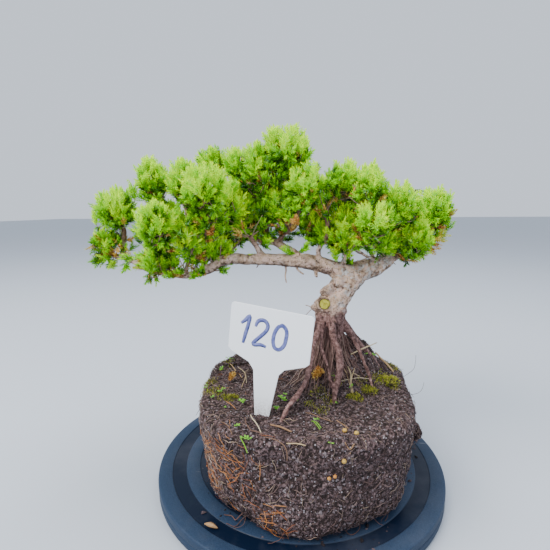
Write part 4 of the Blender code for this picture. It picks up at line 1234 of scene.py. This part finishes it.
def prill_skin():
    mat, tree, shader = shader_tree("prill_coating")
    place = add(tree, "ShaderNodeTexCoord").outputs["Object"]
    fine = colour_noise(tree, 900.0, 4.0, 0.65, place)
    tone = add(tree, "ShaderNodeAttribute", attribute_name="tone").outputs["Fac"]
    colour = mixed(tree, tone, (0.520, 0.330, 0.060), (0.560, 0.210, 0.035))
    colour = mixed(tree, span(tree, fine, 0.48, 0.66, 0.0, 0.65), colour, (0.200, 0.130, 0.050))
    coat(tree, shader, colour, 0.55)
    bumped(tree, shader, fine, 0.6, 0.2 * MM)
    return mat


BOX_OVER_RADIUS = 3.46        # a ball's box, from corner to corner, over its radius


def prill(number, mat, size, tone):
    """One bead, dented by noise; size is against the CAD bead."""
    node = f"fertiliser_prill_{number}"
    low, high = (Vector(corner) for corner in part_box(node))
    bm = bmesh.new()
    bmesh.ops.create_icosphere(bm, subdivisions=3, radius=1.0)
    for vert in bm.verts:
        dent = noise.noise(vert.co * 1.6 + Vector((9.1 * number, 0, 0)))
        vert.co = ((low + high) / 2
                   + vert.co * (1 + 0.13 * dent) * size * (high - low).length / BOX_OVER_RADIUS)
    mesh = mesh_of(bm, node + "_bead")
    mesh.attributes.new("tone", "FLOAT", "POINT").data.foreach_set("value", [tone] * len(mesh.vertices))
    mesh.materials.append(mat)
    finished(node + "_bead", mesh, "platter", "prill_coating", node)


PRILL_SKIN = prill_skin()
for number, size, tone in ((1, 1.02, 0.1), (2, 0.78, 0.9), (3, 0.85, 0.7), (4, 1.08, 0.0), (5, 1.06, 0.15)):
    prill(number, PRILL_SKIN, size, tone)


# Moss and seedlings
# Yellow-green moss creeps in patches of short curled sprigs over the top of the soil. Between them
# stand small seedlings, dead straws and dry juniper tips.

MOSS_COLOURS = [(0.0, (0.060, 0.065, 0.010)), (0.35, (0.180, 0.200, 0.012)), (0.65, (0.400, 0.400, 0.030)),
                (0.85, (0.440, 0.520, 0.030)), (1.0, (0.500, 0.360, 0.120))]
MOSS_FLATTENED = 0.35         # the share of a cushion's height that is skin under the sprigs
MOSS_SUNK = 2.1 * MM


def sprig_shapes(seed):
    """Upright curled blades, one unit tall."""
    dice = np.random.default_rng(seed)
    for _ in range(5):
        lean, points = dice.normal(0, 0.30, 2), []
        for step in range(4):
            share = step / 3
            points.append(Vector((lean[0] * share ** 2 + dice.normal(0, 0.05), lean[1] * share ** 2, share)))
        yield thread_mesh(points, 0.085, 3, 0.8)


def moss_cushion(number):
    node = f"moss_cushion_{number}"
    low, high = (Vector(corner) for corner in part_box(node))
    middle = (low + high) / 2
    mesh = remeshed(solid_copy(node), 0.7 * MM, 2)
    for vert in mesh.vertices:
        rise = noise.noise(vert.co * 320) * 1.4 * MM
        vert.co.z = middle.z + (vert.co.z - middle.z) * MOSS_FLATTENED + rise - MOSS_SUNK
    mesh.name = node + "_cushion"
    mesh.materials.append(MOSS_SKIN)
    finished(mesh.name, mesh, "platter", "moss", node)
    strewn(node + "_sprigs", mesh, upper_side, MOSS_GREEN, "moss", sprig_shapes(50 + number), stands_for=node,
           per_square_metre=3200000.0, smallest=0.0009, largest=0.0026, seed=number, skew=1.3)


def upper_side(spot, normal):
    """Thick over a cushion, thin on its bare patches, none underneath."""
    if noise.noise(spot * 0.33) < -0.12:
        return 0.1
    return 1.0 if normal.z > -0.1 else 0.0


def on_moss(spot, normal):
    """Where moss creeps over the soil's top between the cushions."""
    ground = max(patch(spot, place, reach) for place, reach in MOSS_PATCHES)
    return max(0.0, 1.6 * ground - 0.35) * (1.0 if normal.z > 0.2 else 0.0)


def leaf_shape(bm, base, way, length, width):
    """A small cupped leaf: a flattened eight-sided lens."""
    side = way.cross(Vector((0, 0, 1))).normalized() * width / 2
    up = side.cross(way).normalized() * 0.16 * length
    rim = []
    for step in range(8):
        turn = math.tau * step / 8
        rim.append(bm.verts.new(base + way * length * (0.5 - 0.5 * math.cos(turn)) + side * math.sin(turn)))
    top = bm.verts.new(base + way * length * 0.5 + up * 0.2)
    under = bm.verts.new(base + way * length * 0.5 - up)
    for step in range(8):
        first, second = rim[step], rim[(step + 1) % 8]
        bm.faces.new((first, second, top))
        bm.faces.new((second, first, under))


def seedlings(seed):
    """Rosettes of two to four small round leaves, one to three of them at each place."""
    dice = np.random.default_rng(seed)
    bm = bmesh.new()
    for x, y, size in SEEDLINGS:
        foot = Vector((x * MM, y * MM, soil_under(x, y)))
        if y < FRONT_EDGE:
            foot = Vector((x * MM, (y - 1.5) * MM, EDGE_HEIGHT))
        for _ in range(dice.integers(1, 4)):
            shift = Vector((dice.normal(0, 1.2), dice.normal(0, 1.0), 0)) * MM
            stem = foot + shift + Vector((0, 0, dice.uniform(1.0, 3.5) * MM))
            turn = dice.uniform(0, math.tau)
            for leaf in range(int(dice.integers(2, 5))):
                bearing = turn + leaf * math.pi / 2 + dice.normal(0, 0.3)
                way = Vector((math.cos(bearing), math.sin(bearing), dice.uniform(0.1, 0.6))).normalized()
                length = size * dice.uniform(0.7, 1.2) * MM
                leaf_shape(bm, stem, way, length, length * dice.uniform(0.5, 0.8))
    bmesh.ops.recalc_face_normals(bm, faces=bm.faces)
    return mesh_of(bm, "seedling_leaves")


def seedling_green():
    mat, tree, shader = shader_tree("seedling_green")
    fine = colour_noise(tree, 500.0, 3.0, 0.6)
    colour = ramp(tree, fine, [(0.32, (0.060, 0.260, 0.010)), (0.62, (0.240, 0.620, 0.020))])
    coat(tree, shader, colour, 0.45)
    bumped(tree, shader, fine, 0.3, 0.1 * MM)
    return mat


FRONT_EDGE = -88              # mm; seedlings in front of it cling to the block's rim
EDGE_HEIGHT = 0.082
# Middles and reach of the moss patches, and the seedlings' places and leaf size, in mm
MOSS_PATCHES = [((15, -34, 90), 7), ((22, -42, 88), 7), ((17, -56, 85), 6), ((75, -2, 90), 9),
                ((64, -14, 92), 8), ((79, -12, 87), 7), ((-72, -26, 84), 8), ((-64, -34, 84), 6),
                ((-78, -8, 84), 6), ((8, -48, 85), 5), ((50, -22, 92), 6), ((44, -36, 88), 5),
                ((30, -26, 92), 5), ((-70, 34, 84), 6), ((86, 24, 88), 8)]
SEEDLINGS = [(-45, -45, 2.6), (-44, -81, 1.8), (-37, -91, 2.4), (-13, -36, 2.8), (-12, -42, 2.4),
             (-3, -50, 2.6), (-17, -57, 2.6), (-22, -60, 2.0), (-65, 40, 3.0), (-72, 38, 2.8),
             (-74, 20, 2.4), (-65, -27, 2.6), (-70, -40, 2.4), (-78, -20, 2.6), (27, -23, 2.2),
             (31, -50, 2.0), (21, -93, 2.8), (66, 6, 2.6), (60, 2, 2.2), (12, -70, 1.6),
             (42, -30, 1.8), (-56, -52, 1.8), (-30, 46, 2.4), (20, 60, 2.6)]
# Straws and blades: points in mm, thickness, tone from brown to pale
STRAWS = [([(-36, -66, 86), (-31, -76, 86.5), (-26, -87, 85)], 0.42, 0.95),
          ([(-20, -78, 86), (-12, -82, 86), (-5, -85, 85)], 0.75, 0.45),
          ([(37, -16, 104), (41, -25, 97), (43, -33, 88)], 0.5, 0.85),
          ([(41, -15, 104.5), (42.5, -24, 99), (42, -32, 88.5)], 0.65, 0.9),
          ([(46, -17, 103.5), (43, -25, 98), (43.5, -33, 89)], 0.4, 0.8),
          ([(44, -20, 101), (47.5, -22, 99.5), (50, -22, 98.5)], 0.3, 0.9),
          ([(34, -27, 96.5), (47, -23, 97.5), (61, -18, 95)], 0.3, 0.95),
          ([(44, -6, 112), (56, -4, 117), (67, -1, 121)], 0.55, 0.9),
          ([(-68, 30, 86), (-60, 16, 86), (-52, 2, 85)], 0.5, 0.7),
          ([(-58, 22, 86), (-50, 8, 87), (-46, -12, 86)], 0.4, 0.9),
          ([(-52, 14, 86), (-48, -2, 88), (-49, -20, 86)], 0.35, 0.8),
          ([(-8, -95, 83), (0, -96, 83), (4, -96, 82)], 0.45, 0.8),
          ([(-40, -68, 85), (-34, -84, 86), (-24, -90, 86)], 0.4, 0.3),
          ([(-24, -91, 85), (-13, -95, 84), (-8, -97, 80), (-8, -98, 72)], 0.4, 0.35),
          ([(70, 20, 104), (78, 14, 97), (84, 6, 91)], 0.9, 0.7),
          ([(33, -94, 82), (33, -96, 77)], 0.6, 0.5),
          ([(30, -94, 84), (33, -95.5, 80), (36, -95, 84)], 0.5, 0.5),
          ([(34, -80, 86), (27, -70, 86)], 0.35, 0.5),
          ([(86, -10, 92), (97, -8, 100), (99, -6, 112)], 0.16, 0.1),
          ([(88, -24, 84), (99, -22, 86), (103, -20, 94)], 0.14, 0.1),
          ([(-60, -70, 84), (-50, -80, 85), (-46, -88, 83)], 0.3, 0.4),
          ([(5, -60, 86), (12, -66, 87), (24, -72, 86)], 0.3, 0.4)]
BLADES = [([(9, -71, 85), (11, -76, 88), (14, -83, 86)], 0.4, 0.5),
          ([(11, -70, 85), (13, -77, 88), (15, -81, 86)], 0.35, 0.7),
          ([(-39, -92, 84), (-37, -94, 81), (-34, -96, 75)], 0.4, 0.9)]
STRAW_COLOURS = [(0.0, (0.020, 0.012, 0.010)), (0.3, (0.160, 0.085, 0.060)), (0.6, (0.420, 0.240, 0.110)),
                 (0.85, (0.560, 0.420, 0.230)), (1.0, (0.640, 0.560, 0.400))]
BLADE_COLOURS = [(0.0, (0.060, 0.200, 0.010)), (1.0, (0.240, 0.520, 0.020))]


def scattered_lines(items):
    """Lines for STRANDS from (points, thickness, tone), a little thinner at both ends."""
    for points, thick, tone in items:
        girths = [thick * MM * (0.75 if end in (0, len(points) - 1) else 1.0) for end in range(len(points))]
        yield [Vector(point) * MM for point in points], {"girth": girths, "tone": tone}


MOSS_SKIN = toned("moss_skin", [(0.0, (0.050, 0.040, 0.018)), (1.0, (0.110, 0.105, 0.020))], 0.95, 0.4 * MM)
MOSS_GREEN = toned("moss_green", MOSS_COLOURS)
for number in range(1, 5):
    moss_cushion(number)
strewn("moss_sprigs", soil.data, on_moss, MOSS_GREEN, "moss", sprig_shapes(31), stands_for="moss_cushion_1",
       per_square_metre=900000.0, smallest=0.0009, largest=0.0030, seed=12, skew=1.3)
leaves_mesh = seedlings(17)
leaves_mesh.materials.append(seedling_green())
finished("seedling_leaves", leaves_mesh, "platter", "moss", "moss_cushion_4")
for label, items, colours in (("straws", STRAWS, STRAW_COLOURS), ("grass_blades", BLADES, BLADE_COLOURS)):
    mesh = grown(line_mesh(label, scattered_lines(items)), STRANDS, wander=0.0022, wander_size=0.012,
                 step=0.0012, material=toned(label, colours, 0.7))
    mesh.name = label
    finished(label, mesh, "platter", "bark" if label == "straws" else "moss", "moss_cushion_2")
tips = []
dice = np.random.default_rng(41)
for x, y, z, fade in ((21, -21, 101, 1.0), (18, -23, 99, 0.9), (-62, -8, 86, 0.9)):
    way = Vector((dice.normal(0, 1), dice.normal(-0.4, 0.5), 0.35)).normalized()
    for line in cluster(dice, Vector((x, y, z)) * MM, way, 0.0075, 0.2, 5):
        line[1]["dry"] = fade
        tips.append(line)
tip_mesh = grown(line_mesh("fallen_tips", tips), NEEDLES, whorls=WHORLS, material=NEEDLE_GREEN)
finished("fallen_tips", tip_mesh, "platter", "foliage", "moss_cushion_3", smooth=False)


# Litter on the turntable
# What came off the block when it was set down. A husk, crumbs and stray roots lie on the upper disc,
# and a clod full of roots still clings to the block's right side.

def on_disc(spot, normal):
    """Crumbs on the disc's top: most against the block's foot, fewer further out."""
    if normal.z < 0.9 or spot.z < 12:
        return 0.0
    beyond = math.hypot((spot.x - FOOT_MIDDLE.x) / FOOT_HALF.x, (spot.y - FOOT_MIDDLE.y) / FOOT_HALF.y) - 1
    return 0.9 * math.exp(-(beyond / 0.035) ** 2) + 0.035 * math.exp(-(beyond / 0.2) ** 2)


FOOT_MIDDLE = Vector((7, -6))           # the block's foot on the disc, in mm
FOOT_HALF = Vector((82, 94))
# Roots that stray from the block's foot onto the disc: points in mm, thickness, tone
FOOT_ROOTS = [([(-34, -78, 24), (-44, -85, 15.5), (-49, -80, 14.2), (-55, -80, 14.4)], 0.42, 0.35),
              ([(-32, -82, 22), (-41, -86, 15), (-45, -90, 14), (-52, -88, 14.2)], 0.32, 0.25),
              ([(-38, -82, 18), (-39, -89, 14.4), (-46, -92, 14)], 0.22, 0.4),
              ([(26, -80, 24), (31, -89, 16), (37, -93, 14.2), (43, -86, 15), (42, -77, 26)], 0.28, 0.2),
              ([(48, -70, 26), (54, -80, 16), (60, -83, 14.2)], 0.24, 0.3),
              ([(60, -62, 26), (65, -73, 17), (62, -80, 14.2)], 0.3, 0.2),
              ([(-8, -94, 22), (-13, -101, 15), (-21, -103, 14.2)], 0.24, 0.3)]
loose_crumb_mat = toned("loose_crumbs", CRUMB_COLOURS, 0.95, 0.3 * MM)
strewn("loose_crumbs", nodes["turntable_platter"].data, on_disc, loose_crumb_mat, "soil", crumb_shapes(),
       per_square_metre=60000.0, smallest=0.0003, largest=0.0018, seed=9, lift=0.0003)
foot_mesh = grown(line_mesh("foot_roots", scattered_lines(FOOT_ROOTS)), STRANDS, wander=0.0028,
                  wander_size=0.008, step=0.0012, material=STRINGY)
finished("foot_roots", foot_mesh, "platter", "bark", "root_ball")
husk_lines = [([Vector(point) * MM for point in ((-67, -89, 14.2), (-62, -91, 15.2), (-57, -92.5, 14.2))],
               {"girth": [0.5 * MM, 1.9 * MM, 0.4 * MM], "tone": 0.62})]
clod = [([Vector(point) * MM for point in ((101, -9, 34), (104, -6, 39), (103, -4, 45), (99, -4, 49))],
         {"girth": [2.0 * MM, 4.2 * MM, 3.2 * MM, 1.2 * MM], "tone": 0.2})]
clod_mesh = grown(line_mesh("clod", clod), STRANDS, wander=0.003, wander_size=0.004, step=0.0008,
                  material=soil_mat)
finished("clod", clod_mesh, "platter", "soil", "root_ball")
strewn("clod_roots", clod_mesh, lambda spot, normal: 1.0, toned("clod_roots", ROOTLET_COLOURS), "soil",
       fibre_shapes(0.75, 44), per_square_metre=260000.0, smallest=0.003, largest=0.009, seed=5)
husk = grown(line_mesh("husk", husk_lines), STRANDS, wander=0.0004,
             material=toned("husk", STRAW_COLOURS, 0.6))
finished("husk", husk, "platter", "bark", "root_ball")
